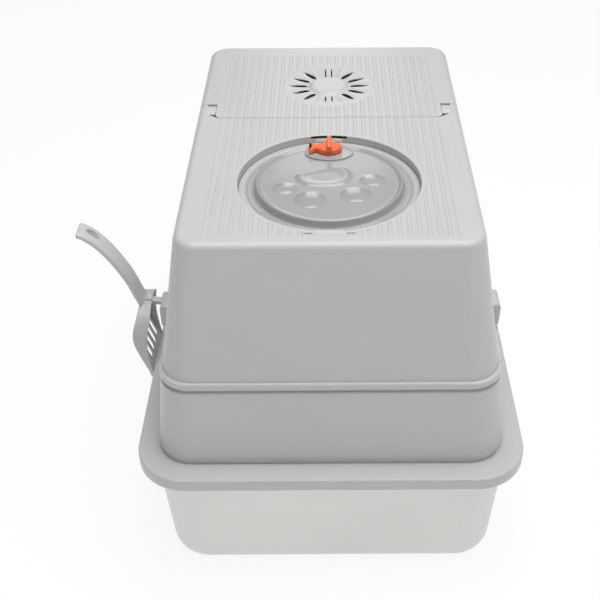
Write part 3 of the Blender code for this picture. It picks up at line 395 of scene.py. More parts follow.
def smooth_line(points, steps=6):
    """A Catmull-Rom line through points."""
    points = [Vector(point) for point in points]
    line = []
    for i in range(len(points) - 1):
        before = points[max(i - 1, 0)]
        after = points[min(i + 2, len(points) - 1)]
        a, b = points[i], points[i + 1]
        for step in range(steps):
            t = step / steps
            line.append(
                0.5
                * (
                    2 * a
                    + (b - before) * t
                    + (2 * before - 5 * a + 4 * b - after) * t * t
                    + (3 * a - before - 3 * b + after) * t * t * t
                )
            )
    line.append(points[-1])
    return line


def boolean(obj, other, operation):
    change = obj.modifiers.new(other.name, "BOOLEAN")
    change.operation = operation
    change.object = other
    change.solver = "EXACT"
    return obj


def bevel(obj, width, segments=3, limit=30):
    rounded = obj.modifiers.new("Rounded", "BEVEL")
    rounded.width = width
    rounded.segments = segments
    rounded.limit_method = "ANGLE"
    rounded.angle_limit = math.radians(limit)
    rounded.harden_normals = False
    return obj


def made_real(obj):
    """The object with its modifiers made real; the objects that cut or joined it are removed."""
    others = [change.object for change in obj.modifiers if change.type == "BOOLEAN"]
    bpy.context.view_layer.update()
    graph = bpy.context.evaluated_depsgraph_get()
    mesh = bpy.data.meshes.new_from_object(obj.evaluated_get(graph))
    obj.modifiers.clear()
    old = obj.data
    obj.data = mesh
    bpy.data.meshes.remove(old)
    for other in others:
        used = other.data
        bpy.data.objects.remove(other)
        bpy.data.meshes.remove(used)
    return obj


def cut(obj, *others):
    for other in others:
        boolean(obj, other, "DIFFERENCE")
    return made_real(obj)


def join(obj, *others):
    for other in others:
        boolean(obj, other, "UNION")
    return made_real(obj)


def keep_inside(obj, other):
    boolean(obj, other, "INTERSECT")
    return made_real(obj)


def finished(obj, name, body, finish, nodes=(), sharp=32.0):
    """Shades a piece, makes it one plain mesh and hands it to its body."""
    if obj.modifiers:
        made_real(obj)
    bm = bmesh.new()
    bm.from_mesh(obj.data)
    bmesh.ops.remove_doubles(bm, verts=bm.verts, dist=0.000004)
    bmesh.ops.dissolve_degenerate(bm, edges=bm.edges, dist=0.000004)
    bm.to_mesh(obj.data)
    bm.free()
    obj.data.shade_smooth()
    obj.data.set_sharp_from_angle(angle=math.radians(sharp))
    normals = obj.modifiers.new("Normals", "WEIGHTED_NORMAL")
    normals.keep_sharp = True
    made_real(obj)
    obj.name = name
    obj.data.name = name
    obj.data.materials.clear()
    obj.data.materials.append(finish)
    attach(obj, body)
    if nodes:
        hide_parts(*nodes)
    return obj


# Materials


class Shader:
    """A node tree in the making: nodes by type, links by socket."""

    def __init__(self, name):
        self.material = bpy.data.materials.new(name)
        self.material.use_nodes = True
        self.tree = self.material.node_tree
        self.surface = self.tree.nodes["Principled BSDF"]

    def node(self, kind, **values):
        made = self.tree.nodes.new(kind)
        for key, value in values.items():
            if key in made.inputs.keys():
                made.inputs[key].default_value = value
            else:
                setattr(made, key, value)
        return made

    def link(self, source, target):
        self.tree.links.new(source, target)

    def paint(self, **values):
        """Sets or links the surface's inputs, by their names with _ for a space."""
        for key, value in values.items():
            socket = self.surface.inputs[key.replace("_", " ")]
            if hasattr(value, "is_linked"):
                self.link(value, socket)
            else:
                socket.default_value = value

    def place(self, scale=(1.0, 1.0, 1.0), location=(0.0, 0.0, 0.0)):
        """Object coordinates, stretched and moved."""
        coordinates = self.node("ShaderNodeTexCoord")
        mapping = self.node("ShaderNodeMapping")
        mapping.inputs["Scale"].default_value = scale
        mapping.inputs["Location"].default_value = location
        self.link(coordinates.outputs["Object"], mapping.inputs["Vector"])
        return mapping.outputs["Vector"]

    def noise(self, vector, scale, detail=2.0, roughness=0.5):
        made = self.node("ShaderNodeTexNoise", Scale=scale, Detail=detail, Roughness=roughness)
        self.link(vector, made.inputs["Vector"])
        return made.outputs["Fac"]

    def ramp(self, value, low, high, start=0.0, end=1.0):
        """A number between low and high as value goes from start to end."""
        made = self.node("ShaderNodeMapRange")
        made.inputs["From Min"].default_value = start
        made.inputs["From Max"].default_value = end
        made.inputs["To Min"].default_value = low
        made.inputs["To Max"].default_value = high
        self.link(value, made.inputs["Value"])
        return made.outputs["Result"]

    def mix(self, share, first, second):
        """A colour between two colours or sockets."""
        made = self.node("ShaderNodeMix", data_type="RGBA")
        if hasattr(share, "is_linked"):
            self.link(share, made.inputs[0])
        else:
            made.inputs[0].default_value = share
        for socket, value in ((made.inputs[6], first), (made.inputs[7], second)):
            if hasattr(value, "is_linked"):
                self.link(value, socket)
            else:
                socket.default_value = (*value, 1.0)
        return made.outputs[2]

    def bump(self, height, strength, distance):
        made = self.node("ShaderNodeBump", Strength=strength, Distance=distance)
        self.link(height, made.inputs["Height"])
        return made.outputs["Normal"]

    def blotches(self, value, low=0.0, high=1.0):
        """The middle of a noise spread from low to high."""
        return self.ramp(value, low, high, 0.3, 0.7)

    def edge_wear(self, start=0.53, end=0.62):
        """0 on flat stretches, 1 on sharp outer edges."""
        geometry = self.node("ShaderNodeNewGeometry")
        return self.ramp(geometry.outputs["Pointiness"], 0.0, 1.0, start, end)


def scaled(color, share):
    return tuple(min(1.0, part * share) for part in color)


def moulded_plastic(name, color, rough, grain=0.05):
    """Satin moulded plastic: a fine spark-eroded grain, faint flow marks and rubbed edges."""
    known = bpy.data.materials.get(name)
    if known:
        return known
    s = Shader(name)
    place = s.place()
    cloud = s.noise(place, 9.0, 3.0)
    flow = s.noise(s.place(scale=(14.0, 1.6, 14.0)), 2.2, 2.0)
    patches = s.mix(s.blotches(cloud), scaled(color, 0.985), scaled(color, 1.015))
    veined = s.mix(s.ramp(flow, 0.0, 0.5, 0.35, 0.75), patches, scaled(color, 0.975))
    s.paint(
        Base_Color=s.mix(s.edge_wear(), veined, scaled(color, 1.05)),
        Roughness=s.blotches(cloud, rough - 0.03, rough + 0.05),
        Normal=s.bump(s.noise(place, 900.0, 2.0), grain, 0.0002),
        IOR=1.47,
    )
    return s.material


def pan_steel(settings):
    """Satin stainless steel with a fine grain drawn along the walls."""
    s = Shader("pan_steel_satin")
    drawn = s.noise(s.place(scale=(6.0, 6.0, 420.0)), 3.0, 4.0, 0.6)
    cloud = s.noise(s.place(), 6.0, 3.0)
    tint = s.mix(s.blotches(drawn), scaled(settings.steel, 0.96), settings.steel)
    rough = settings.steel_rough
    s.paint(
        Base_Color=s.mix(s.ramp(cloud, 0.0, 1.0, 0.4, 0.75), tint, scaled(settings.steel, 0.93)),
        Roughness=s.blotches(drawn, rough - 0.05, rough + 0.07),
        Normal=s.bump(drawn, 0.06, 0.0001),
        Metallic=1.0,
    )
    return s.material


def bright_steel():
    """Turned steel of pins and screws."""
    s = Shader("pin_steel_bright")
    rings = s.noise(s.place(scale=(900.0, 900.0, 900.0)), 1.0, 2.0)
    s.paint(
        Base_Color=s.mix(rings, (0.52, 0.52, 0.53), (0.68, 0.68, 0.69)),
        Roughness=s.ramp(rings, 0.22, 0.36),
        Normal=s.bump(rings, 0.1, 0.00005),
        Metallic=1.0,
    )
    return s.material


def smoked_door(settings):
    """Glossy smoked plastic. The lip over the ledge it rests on is painted in the light plastic colour:
    painted light standing in for the lit ledge seen through the door. The darker smoke tone inside also
    stands in for the shaded inside seen through it.
    """
    s = Shader("smoked_plastic_door")
    centre = s.place(location=(0.0, -HATCH_Y, 0.0))
    spread = s.node("ShaderNodeSeparateXYZ")
    s.link(centre, spread.inputs["Vector"])
    flat = s.node("ShaderNodeCombineXYZ")
    s.link(spread.outputs["X"], flat.inputs["X"])
    s.link(spread.outputs["Y"], flat.inputs["Y"])
    reach = s.node("ShaderNodeVectorMath", operation="LENGTH")
    s.link(flat.outputs["Vector"], reach.inputs[0])
    # Painted light: the lip ring is painted in the light plastic colour, standing in for the lit ledge seen
    # through the door.
    lip = s.ramp(reach.outputs["Value"], 0.0, 1.0, 0.0895, 0.0925)
    cloud = s.noise(s.place(), 16.0, 3.0)
    smoke = s.mix(s.blotches(cloud), scaled(settings.smoked, 0.97), scaled(settings.smoked, 1.03))
    s.paint(
        Base_Color=s.mix(lip, smoke, scaled(settings.plastic, 0.96)),
        Roughness=s.blotches(cloud, 0.16, 0.22),
        Normal=s.bump(s.noise(s.place(), 45.0, 2.0), 0.02, 0.0004),
        Coat_Weight=0.5,
        Coat_Roughness=0.10,
        Alpha=0.93,
    )
    return s.material


def orange_plastic(settings):
    """Bright orange plastic with paler rubbed edges."""
    s = Shader("orange_plastic_knob")
    cloud = s.noise(s.place(), 60.0, 3.0)
    tint = s.mix(s.blotches(cloud), scaled(settings.orange, 0.95), settings.orange)
    s.paint(
        Base_Color=s.mix(s.edge_wear(), tint, (1.0, 0.30, 0.12)),
        Roughness=s.blotches(cloud, 0.30, 0.40),
        Normal=s.bump(s.noise(s.place(), 1400.0, 2.0), 0.04, 0.0001),
    )
    return s.material


def carbon_foam_and_slot_shadow():
    """Near-black open foam; the same finish also paints the shadow inside the strike slot."""
    s = Shader("carbon_foam_and_slot_shadow_black")
    cells = s.node("ShaderNodeTexVoronoi", Scale=620.0)
    s.link(s.place(), cells.inputs["Vector"])
    depth = cells.outputs["Distance"]
    s.paint(
        Base_Color=s.mix(s.ramp(depth, 0.0, 1.0, 0.1, 0.6), (0.012, 0.012, 0.013), (0.06, 0.06, 0.062)),
        Normal=s.bump(depth, 0.9, 0.0012),
        Roughness=0.95,
    )
    return s.material


def grey_plastic():
    finish = bpy.context.scene.litter_finish
    return moulded_plastic("grey_plastic_satin", tuple(finish.plastic), finish.plastic_rough)


# Geometry node trees


class Nodes:
    """A Geometry Nodes tree in the making, with named inputs."""

    def __init__(self, name):
        self.tree = bpy.data.node_groups.new(name, "GeometryNodeTree")
        self.tree.interface.new_socket("Geometry", in_out="INPUT", socket_type="NodeSocketGeometry")
        self.tree.interface.new_socket("Geometry", in_out="OUTPUT", socket_type="NodeSocketGeometry")
        self.start = self.tree.nodes.new("NodeGroupInput")
        self.end = self.tree.nodes.new("NodeGroupOutput")
        self.sockets = {}

    def input(self, name, kind="NodeSocketFloat"):
        made = self.tree.interface.new_socket(name, in_out="INPUT", socket_type=kind)
        self.sockets[name] = made.identifier
        return self.start.outputs[name]

    def node(self, kind, **values):
        made = self.tree.nodes.new(kind)
        for key, value in values.items():
            if hasattr(made, key):
                setattr(made, key, value)
            else:
                self.feed(made.inputs[key.replace("_", " ")], value)
        return made

    def feed(self, socket, value):
        if hasattr(value, "is_linked"):
            self.tree.links.new(value, socket)
        else:
            socket.default_value = value

    def math(self, operation, first, second=0.0):
        made = self.tree.nodes.new("ShaderNodeMath")
        made.operation = operation
        self.feed(made.inputs[0], first)
        self.feed(made.inputs[1], second)
        return made.outputs[0]

    def vector(self, x=0.0, y=0.0, z=0.0):
        made = self.tree.nodes.new("ShaderNodeCombineXYZ")
        for socket, value in zip(made.inputs, (x, y, z)):
            self.feed(socket, value)
        return made.outputs[0]

    def finish(self, geometry, material):
        """Realises what the tree made, sets its material and passes it out."""
        real = self.node("GeometryNodeRealizeInstances")
        self.feed(real.inputs[0], geometry)
        painted = self.node("GeometryNodeSetMaterial")
        self.feed(painted.inputs["Geometry"], real.outputs[0])
        painted.inputs["Material"].default_value = material
        self.feed(self.end.inputs[0], painted.outputs[0])

    def run(self, name, **values):
        """The tree's result as a plain mesh object."""
        obj = object_of(name, bpy.data.meshes.new(name))
        grown = obj.modifiers.new("Grown", "NODES")
        grown.node_group = self.tree
        for key, value in values.items():
            grown[self.sockets[key]] = value
        return made_real(obj)


def groove_tree(material):
    """V-shaped bars side by side along Y, kept clear of two discs and a plate."""
    n = Nodes("deck_grooves")
    count = n.input("Count", "NodeSocketInt")
    sizes = ("Pitch", "First", "Width", "Near", "Far", "Level")
    pitch, first, width, near, far, level = [n.input(name) for name in sizes]
    rail = n.node(
        "GeometryNodeMeshLine",
        mode="OFFSET",
        Count=count,
        Start_Location=n.vector(first, 0.0, level),
        Offset=n.vector(pitch, 0.0, 0.0),
    )
    ends = {"Start": n.vector(0.0, near, 0.0), "End": n.vector(0.0, far, 0.0)}
    line = n.node("GeometryNodeCurvePrimitiveLine", **ends)
    half = n.math("MULTIPLY", width, 0.5)
    section = n.node("GeometryNodeCurvePrimitiveCircle", Resolution=4, Radius=half)
    bar = n.node(
        "GeometryNodeCurveToMesh",
        Curve=line.outputs[0],
        Profile_Curve=section.outputs[0],
        Fill_Caps=True,
    )
    spread = n.node("GeometryNodeInstanceOnPoints", Points=rail.outputs[0], Instance=bar.outputs[0])
    clear = n.node("GeometryNodeRealizeInstances", Geometry=spread.outputs[0]).outputs[0]
    for disc in ("Hatch", "Vent"):
        radius = n.input(f"{disc} Radius")
        middle = n.input(f"{disc} Y")
        drum = n.node("GeometryNodeMeshCylinder", Vertices=96, Depth=0.02, Radius=radius)
        clear = trimmed(n, clear, drum, n.vector(0.0, middle, level))
    plate_width = n.input("Plate Width")
    plate_y = n.input("Plate Y")
    plate = n.node("GeometryNodeMeshCube", Size=n.vector(plate_width, 0.03, 0.02))
    n.finish(trimmed(n, clear, plate, n.vector(0.0, plate_y, level)), material)
    return n


def trimmed(n, geometry, other, place):
    """The geometry less the other one at a place, by an exact Boolean."""
    moved = n.node("GeometryNodeTransform", Geometry=other.outputs[0], Translation=place)
    less = n.node("GeometryNodeMeshBoolean", operation="DIFFERENCE", solver="EXACT")
    n.feed(less.inputs["Mesh 1"], geometry)
    n.feed(less.inputs["Mesh 2"], moved.outputs[0])
    return less.outputs[0]


def slot_tree(material):
    """Teardrop slots fanned round a centre, in two mirrored halves clear of the middle line."""
    n = Nodes("vent_slots")
    count = n.input("Slots", "NodeSocketInt")
    spread, inner, outer, width = [n.input(name) for name in ("Spread", "Inner", "Outer", "Width")]
    middle = n.input("Middle", "NodeSocketVector")
    half = n.math("DIVIDE", count, 2.0)
    start = n.math("MULTIPLY", n.math("SUBTRACT", half, 1.0), -0.5)
    reach = n.math("SUBTRACT", outer, inner)
    tooth = n.node("GeometryNodeMeshCylinder", Vertices=28, Radius=0.5, Depth=0.03)
    place = n.node("GeometryNodeInputPosition")
    parts = n.node("ShaderNodeSeparateXYZ", Vector=place.outputs[0])
    along = n.math("ADD", parts.outputs["X"], 0.5)
    taper = n.math("SUBTRACT", 1.25, n.math("MULTIPLY", along, 0.62))
    x = n.math("ADD", inner, n.math("MULTIPLY", along, reach))
    y = n.math("MULTIPLY", n.math("MULTIPLY", parts.outputs["Y"], width), taper)
    shaped = n.node(
        "GeometryNodeSetPosition",
        Geometry=tooth.outputs[0],
        Position=n.vector(x, y, parts.outputs["Z"]),
    )
    points = n.node("GeometryNodeMeshLine", mode="OFFSET", Count=count, Offset=(0.0, 0.0, 0.0))
    index = n.node("GeometryNodeInputIndex")
    side = n.math("FLOOR", n.math("DIVIDE", index.outputs[0], half))
    within = n.math("MODULO", index.outputs[0], half)
    fanned = n.math("MULTIPLY", n.math("ADD", within, start), spread)
    turn = n.math("ADD", fanned, n.math("MULTIPLY", side, math.pi))
    placed = n.node(
        "GeometryNodeInstanceOnPoints",
        Points=points.outputs[0],
        Instance=shaped.outputs[0],
        Rotation=n.vector(0.0, 0.0, turn),
    )
    moved = n.node("GeometryNodeTransform", Geometry=placed.outputs[0], Translation=middle)
    n.finish(moved.outputs[0], material)
    return n


# Pan and frame


def frame_half(z):
    """Half the width over the frame's wall at height z."""
    sizes = bpy.context.scene.litter_frame
    foot = PAN_HALF - sizes.inset
    return foot - sizes.lean * (z - FLANGE_Z) / (FRAME_TOP_Z - FLANGE_Z)


def pan_rings(inward):
    """The pan's rings from the middle of its floor to its curled edge, moved in by the steel."""
    sizes = bpy.context.scene.litter_pan
    slope = sizes.lean / PAN_DEPTH
    radius = sizes.bottom_radius - inward
    top = PAN_DEPTH + inward
    rings = []
    steps = 10
    for step in range(steps + 1):
        turn = math.pi / 2 * step / steps
        z = inward + radius * (1 - math.cos(turn))
        inset = inward + radius * (1 - math.sin(turn))
        half = PAN_HALF - slope * (PAN_DEPTH - z) - inset
        rings.append(ring(half, sizes.corner - inset, z))
    rings.insert(0, ring(PAN_HALF - sizes.lean - sizes.bottom_radius - 0.004, 0.013, inward))
    rings.append(ring(PAN_HALF - inward - 0.0002, sizes.corner - inward, top - 0.005))
    for turn in (0, 30, 60, 90):
        bend = 0.0035 * (1 - math.cos(math.radians(turn)))
        drop = 0.0035 * (1 - math.sin(math.radians(turn)))
        rings.append(ring(PAN_HALF - inward + bend, sizes.corner + bend, top - drop))
    edge = PAN_HIGH.x - PAN_STEEL + inward
    corner = sizes.corner + PAN_RIM - PAN_STEEL + inward
    for turn in (90, 60, 30, 0):
        bend = 0.0018 * (1 - math.cos(math.radians(turn)))
        drop = 0.0018 * (1 - math.sin(math.radians(turn)))
        rings.append(ring(edge - bend, corner - bend, top - drop))
    rings.append(ring(edge, corner, PAN_DEPTH - sizes.curl))
    return rings


def frame_rings():
    """Round the frame's section: down its outer side from the spigot to the skirt, and back inside."""
    sizes = bpy.context.scene.litter_frame
    hood = bpy.context.scene.litter_hood
    top_half = frame_half(FRAME_TOP_Z)
    spigot = top_half - 0.0045
    spigot_corner = hood.corner - 0.0045
    spigot_top = COVER_HIGH.z
    groove = sizes.shadow_groove
    rings = [
        ring(spigot - 0.0013, spigot_corner, spigot_top),
        ring(spigot, spigot_corner, FRAME_TOP_Z),
        ring(top_half - groove - 0.0006, hood.corner - groove, FRAME_TOP_Z),
        ring(top_half - groove, hood.corner - groove, FRAME_TOP_Z - 0.0006),
        ring(top_half - groove, hood.corner - groove, FRAME_TOP_Z - sizes.groove_height + 0.0012),
        ring(top_half - groove * 0.7, hood.corner - groove * 0.7, FRAME_TOP_Z - sizes.groove_height + 0.0003),
        ring(top_half - 0.0005, hood.corner, FRAME_TOP_Z - sizes.groove_height - 0.0003),
        ring(frame_half(FRAME_TOP_Z - 0.0062), hood.corner, FRAME_TOP_Z - 0.0062),
    ]
    steps = 10
    for step in range(steps + 1):
        share = step / steps
        z = FLANGE_Z + sizes.foot_height * (1 - share)
        half = frame_half(z) - sizes.foot_inset * share ** 2.2
        rings.append(ring(half, sizes.corner, z))
    foot = frame_half(FLANGE_Z) - sizes.foot_inset
    rings.append(ring(foot + 0.0012, sizes.corner, FLANGE_Z - 0.0002))
    rings.append(ring(foot + 0.0034, sizes.corner + 0.002, FLANGE_Z - 0.0001))
    rings.append(ring(foot + 0.0048, sizes.corner + 0.004, FLANGE_Z - 0.0006))
    rings.append(ring(FLANGE_HALF - 0.0058, sizes.skirt_corner - 0.0058, FLANGE_Z - 0.0006))
    rings.append(ring(FLANGE_HALF - 0.0046, sizes.skirt_corner - 0.0046, FLANGE_Z - 0.0001))
    edge = sizes.edge
    for turn in (90, 70, 50, 30, 15, 0):
        bend = edge * (1 - math.cos(math.radians(turn)))
        drop = edge * (1 - math.sin(math.radians(turn)))
        rings.append(ring(FLANGE_HALF - bend, sizes.skirt_corner - bend, FLANGE_Z - drop))
    skirt_inner = FLANGE_HALF - PLASTIC
    inner_corner = sizes.skirt_corner - PLASTIC
    foot = FLANGE_Z - sizes.skirt_drop
    underside = FLANGE_Z - PLASTIC
    wall_foot = frame_half(FLANGE_Z) - PLASTIC
    rings += [
        ring(FLANGE_HALF, sizes.skirt_corner, foot + 0.0008),
        ring(FLANGE_HALF - 0.0008, sizes.skirt_corner, foot),
        ring(skirt_inner, inner_corner, foot),
        ring(skirt_inner, inner_corner, underside),
        ring(wall_foot + 0.003, sizes.corner, underside),
        ring(wall_foot + 0.0008, sizes.corner - 0.001, underside + 0.0009),
        ring(wall_foot, sizes.corner - PLASTIC, underside + 0.003),
        ring(top_half - PLASTIC - groove, hood.corner - PLASTIC - groove, FRAME_TOP_Z - PLASTIC),
        ring(spigot - PLASTIC, spigot_corner - PLASTIC, FRAME_TOP_Z - PLASTIC),
        ring(spigot - PLASTIC - 0.0013, spigot_corner - PLASTIC, spigot_top),
    ]
    return rings


def entrance_outline(grow=0.0):
    sizes = bpy.context.scene.litter_entrance
    low = FLANGE_Z + sizes.sill - grow
    high = DECK_Z - sizes.head + grow
    half = sizes.width / 2 + grow
    upper = sizes.radius + grow
    lower = sizes.radius / 2 + grow
    outline = arc((half - upper, high - upper), upper, 0, 90, 16)
    outline += arc((-half + upper, high - upper), upper, 90, 180, 16)
    outline += arc((-half + lower, low + lower), lower, 180, 270, 10)
    outline += arc((half - lower, low + lower), lower, 270, 360, 10)
    return outline


def entrance_cutter(name):
    far = FLANGE_HALF + END_EXTRA
    return prism(name, entrance_outline(), far / 2, far, "Y")


def latch_lugs(side):
    """Two rounded ears on the frame's wall that carry a side latch's pin."""
    low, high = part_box("latch_pin_right" if side > 0 else "latch_pin_left")
    x = (low.x + high.x) / 2
    z = (low.z + high.z) / 2
    inner = side * (frame_half(z) - PLASTIC / 2)
    outer = x + side * 0.0035
    made = []
    for near, far in ((low.y, low.y + 0.004), (high.y - 0.004, high.y)):
        corner_low = (min(inner, outer), near + 0.0002, z - 0.004)
        corner_high = (max(inner, outer), far - 0.0002, z + 0.004)
        lug = bevel(box("latch_lug", corner_low, corner_high), 0.0012)
        made.append(made_real(lug))
    return made


# Hood


def hood_half(z):
    """Half the width over the hood's wall at height z."""
    sizes = bpy.context.scene.litter_hood
    return BEAD_HALF - sizes.bead_proud - sizes.lean * (z - RIM_Z) / (DECK_Z - RIM_Z)


def hood_edge_rings(inward, steps=12):
    """The rounded edge between walls and deck, moved in by the wall, ending flat on the deck."""
    sizes = bpy.context.scene.litter_hood
    radius = sizes.edge - inward
    start = hood_half(DECK_Z - sizes.edge) - inward
    rings = []
    for step in range(steps + 1):
        turn = math.pi / 2 * step / steps
        inset = radius * (1 - math.cos(turn))
        z = DECK_Z - inward - radius * (1 - math.sin(turn))
        rings.append(ring(start - inset, sizes.top_corner - inward - inset, z))
    rings.append(ring(start - radius - 0.0012, sizes.top_corner - inward - radius - 0.0012, DECK_Z - inward))
    return rings


def hood_shell(name):
    """The whole hood as one shell with a bead round its rim, before it is divided at the seam."""
    sizes = bpy.context.scene.litter_hood
    bead_top = RIM_Z + sizes.bead_height
    base = BEAD_HALF - sizes.bead_proud
    corner = sizes.corner
    outside = [
        ring(BEAD_HALF - 0.0012, corner, RIM_Z),
        ring(BEAD_HALF - 0.0004, corner, RIM_Z + 0.0004),
        ring(BEAD_HALF, corner, RIM_Z + 0.0012),
        ring(BEAD_HALF - 0.0001, corner, bead_top - 0.0016),
        ring(BEAD_HALF - 0.0004, corner, bead_top - 0.0008),
        ring(BEAD_HALF - 0.0009, corner, bead_top - 0.0002),
        ring(BEAD_HALF - 0.0016, corner, bead_top),
        ring(base - 0.0010, corner, bead_top + 0.0002),
        ring(hood_half(bead_top + 0.0010), corner, bead_top + 0.0010),
    ]
    outside += hood_edge_rings(0.0)
    inside = [ring(base - sizes.wall, corner - sizes.wall, RIM_Z)]
    inside += hood_edge_rings(sizes.wall)
    return loft(name, inside[::-1] + outside)


def seam_outline(offset):
    """The seam in plan, from -X to +X, moved by offset towards +Y."""
    sizes = bpy.context.scene.litter_hood
    ear_x = hood_half(DECK_Z) - sizes.ear_width
    tongue_x = ear_x - sizes.notch_width
    back = SEAM_Y + sizes.ear_depth
    half = []
    if offset < 0:
        half.append((tongue_x - 0.0045, SEAM_Y + offset))
        half += arc((tongue_x - 0.0045, SEAM_Y + 0.004 + offset), 0.004, -90, -48, 4)[1:]
        half.append((ear_x - 0.0006, SEAM_Y + 0.0105))
        half.append((ear_x, SEAM_Y + 0.0118))
        half.append((ear_x, back + offset))
    else:
        half.append((tongue_x - 0.0075, SEAM_Y + offset))
        half += arc((tongue_x - 0.0075, SEAM_Y + 0.0075 + offset), 0.0075, -90, 0, 8)[1:]
        half.append((tongue_x, back + offset))
    half.append((2 * FLANGE_HALF, back + offset))
    return [(-x, y) for x, y in half[::-1]] + half


def hood_region(name, offset):
    """The plan area of one hood shell, taller than the hood."""
    reach = FLANGE_HALF + END_EXTRA
    end = reach if offset > 0 else -reach
    outline = seam_outline(offset) + [(2 * FLANGE_HALF, end), (-2 * FLANGE_HALF, end)]
    return prism(name, outline, RIM_Z - 0.05, DECK_Z + 0.05)


def deck_grooves(name, wide):
    """Cutters for one kind of groove, over the whole deck."""
    sizes = bpy.context.scene.litter_grooves
    tree = groove_tree(grey_plastic())
    count = sizes.count
    span = sizes.pitch * (count - 1)
    first = -span / 2 + (0.0035 if wide else -0.0028)
    return tree.run(
        name,
        **{
            "Count": count,
            "Pitch": sizes.pitch,
            "First": first,
            "Width": sizes.wide if wide else sizes.narrow,
            "Near": -hood_half(DECK_Z) - END_EXTRA / 2 + 0.0135,
            "Far": hood_half(DECK_Z) + END_EXTRA / 2 - 0.0315,
            "Level": DECK_Z,
            "Hatch Radius": HATCH_RADIUS + sizes.hatch_margin,
            "Hatch Y": HATCH_Y,
            "Vent Radius": VENT_RADIUS + sizes.vent_margin,
            "Vent Y": VENT_Y,
            "Plate Width": 0.036,
            "Plate Y": DOOR_AXIS.y - 0.003,
        },
    )


def recess_block():
    """Material for the hatch's wall and ledge."""
    door = bpy.context.scene.litter_door
    hood = bpy.context.scene.litter_hood
    bottom = DECK_Z - door.recess_depth - hood.wall
    top = DECK_Z - 0.0012
    outer = HATCH_RADIUS + 0.0034
    profile = [(0, bottom), (outer, bottom), (outer, top), (0, top)]
    return turned("recess_block", profile, (0, HATCH_Y))


def recess_cutter():
    """The hatch: a small round at the deck, the upright wall, the ledge and the hole inside it."""
    door = bpy.context.scene.litter_door
    ledge = DECK_Z - door.recess_depth
    inner = HATCH_RADIUS - door.ledge_width
    lip = 0.0012
    profile = [(0, DECK_Z + ABOVE_DECK), (HATCH_RADIUS + lip, DECK_Z + ABOVE_DECK)]
    profile += arc((HATCH_RADIUS + lip, DECK_Z - lip), lip, 90, 180, 6)
    profile += [(HATCH_RADIUS, ledge + 0.0006), (HATCH_RADIUS - 0.0006, ledge)]
    profile += [(inner + 0.0005, ledge), (inner, ledge - 0.0005), (inner, ledge - 0.02), (0, ledge - 0.02)]
    return turned("recess_cutter", profile, (0, HATCH_Y))


def hinge_notch():
    """The pocket in the deck for the door's knuckle, open to the hatch."""
    half = 0.0161
    near, far = DOOR_AXIS.y - 0.0048, HATCH_Y - HATCH_RADIUS + 0.010
    outline = [(-half, far), (-half, near), (half, near), (half, far)]
    return prism("hinge_notch", outline, DECK_Z - 0.0118, DECK_Z + ABOVE_DECK)


def pin_slot(side):
    """The narrow slot over one end of the door's hinge pin."""
    inner, outer = 0.0172, 0.0262
    low = (min(side * inner, side * outer), DOOR_AXIS.y - 0.0008, DECK_Z - 0.0032)
    high = (max(side * inner, side * outer), DOOR_AXIS.y + 0.0008, DECK_Z + ABOVE_DECK)
    return box("pin_slot", low, high)


def rear_shell():
    sizes = bpy.context.scene.litter_hood
    hood = hood_shell("rear_hood_shell")
    keep_inside(hood, hood_region("rear_region", -sizes.seam_gap / 2))
    half = 0.029
    block_low = (-half, DOOR_AXIS.y - 0.0062, DECK_Z - 0.0098)
    block_high = (half, DOOR_AXIS.y + 0.0065, DECK_Z - 0.0012)
    join(hood, recess_block(), box("pin_block", block_low, block_high))
    edge_y = HATCH_Y + HATCH_RADIUS
    slot_low = (STRIKE_LEFT, edge_y - 0.004, DECK_Z - 0.0043)
    slot_high = (STRIKE_RIGHT, edge_y + 0.008, DECK_Z - 0.0006)
    slot = box("strike_slot", slot_low, slot_high)
    cut(hood, recess_cutter(), hinge_notch(), pin_slot(-1), pin_slot(1), slot)
    ear_x = hood_half(DECK_Z) - sizes.ear_width
    for side in (-1, 1):
        ends = [Vector((side * x, FLAP_AXIS.y, FLAP_AXIS.z)) for x in (ear_x + 0.0005, ear_x + 0.0065)]
        join(hood, cylinder("ear_lug", HINGE_LUG_RADIUS, *ends))
    cut(hood, deck_grooves("wide_grooves", True))
    cut(hood, deck_grooves("narrow_grooves", False))
    return hood


def strike_strip():
    """The strip let into the hatch's wall below the slot that the knob's cam passes; its top catches the
    light, and its near-white plastic is a painted highlight as well.
    """
    edge_y = HATCH_Y + HATCH_RADIUS
    low = (STRIKE_LEFT + 0.0002, edge_y - 0.0012, DECK_Z - 0.0082)
    high = (STRIKE_RIGHT - 0.0002, edge_y + 0.0030, DECK_Z - 0.0045)
    return bevel(box("strike_strip", low, high), 0.0004, 2)


def painted_slot_shadow():
    """A near-black plate just inside the mouth of the strike slot, above the strip: a painted shadow that
    darkens the slot.
    """
    edge_y = HATCH_Y + HATCH_RADIUS
    low = (STRIKE_LEFT - 0.0002, edge_y + 0.0008, DECK_Z - 0.0046)
    high = (STRIKE_RIGHT + 0.0002, edge_y + 0.0018, DECK_Z - 0.0004)
    return box("painted_slot_shadow", low, high)


def hinge_bridge(side):
    """The barrel and its bed that fill a notch round the flap's pin."""
    sizes = bpy.context.scene.litter_hood
    ear_x = hood_half(DECK_Z) - sizes.ear_width
    near, far = ear_x - sizes.notch_width + 0.0009, ear_x + 0.0008
    y, z = FLAP_AXIS.y, FLAP_AXIS.z
    top = DECK_Z - 0.0006
    outline = [(y - 0.0085, top - 0.0014), (y - 0.0045, top - 0.0004)]
    outline += arc((y, z), top - z, 135, 45, 8)
    outline += [(y + 0.0045, top - 0.0004), (y + 0.0122, top - 0.0010), (y + 0.0122, top - 0.0030)]
    outline += [(y - 0.0085, top - 0.0034)]
    low, high = sorted((side * near, side * far))
    return bevel(prism("hinge_bridge", outline, low, high, "X"), 0.0003, 2, 40)


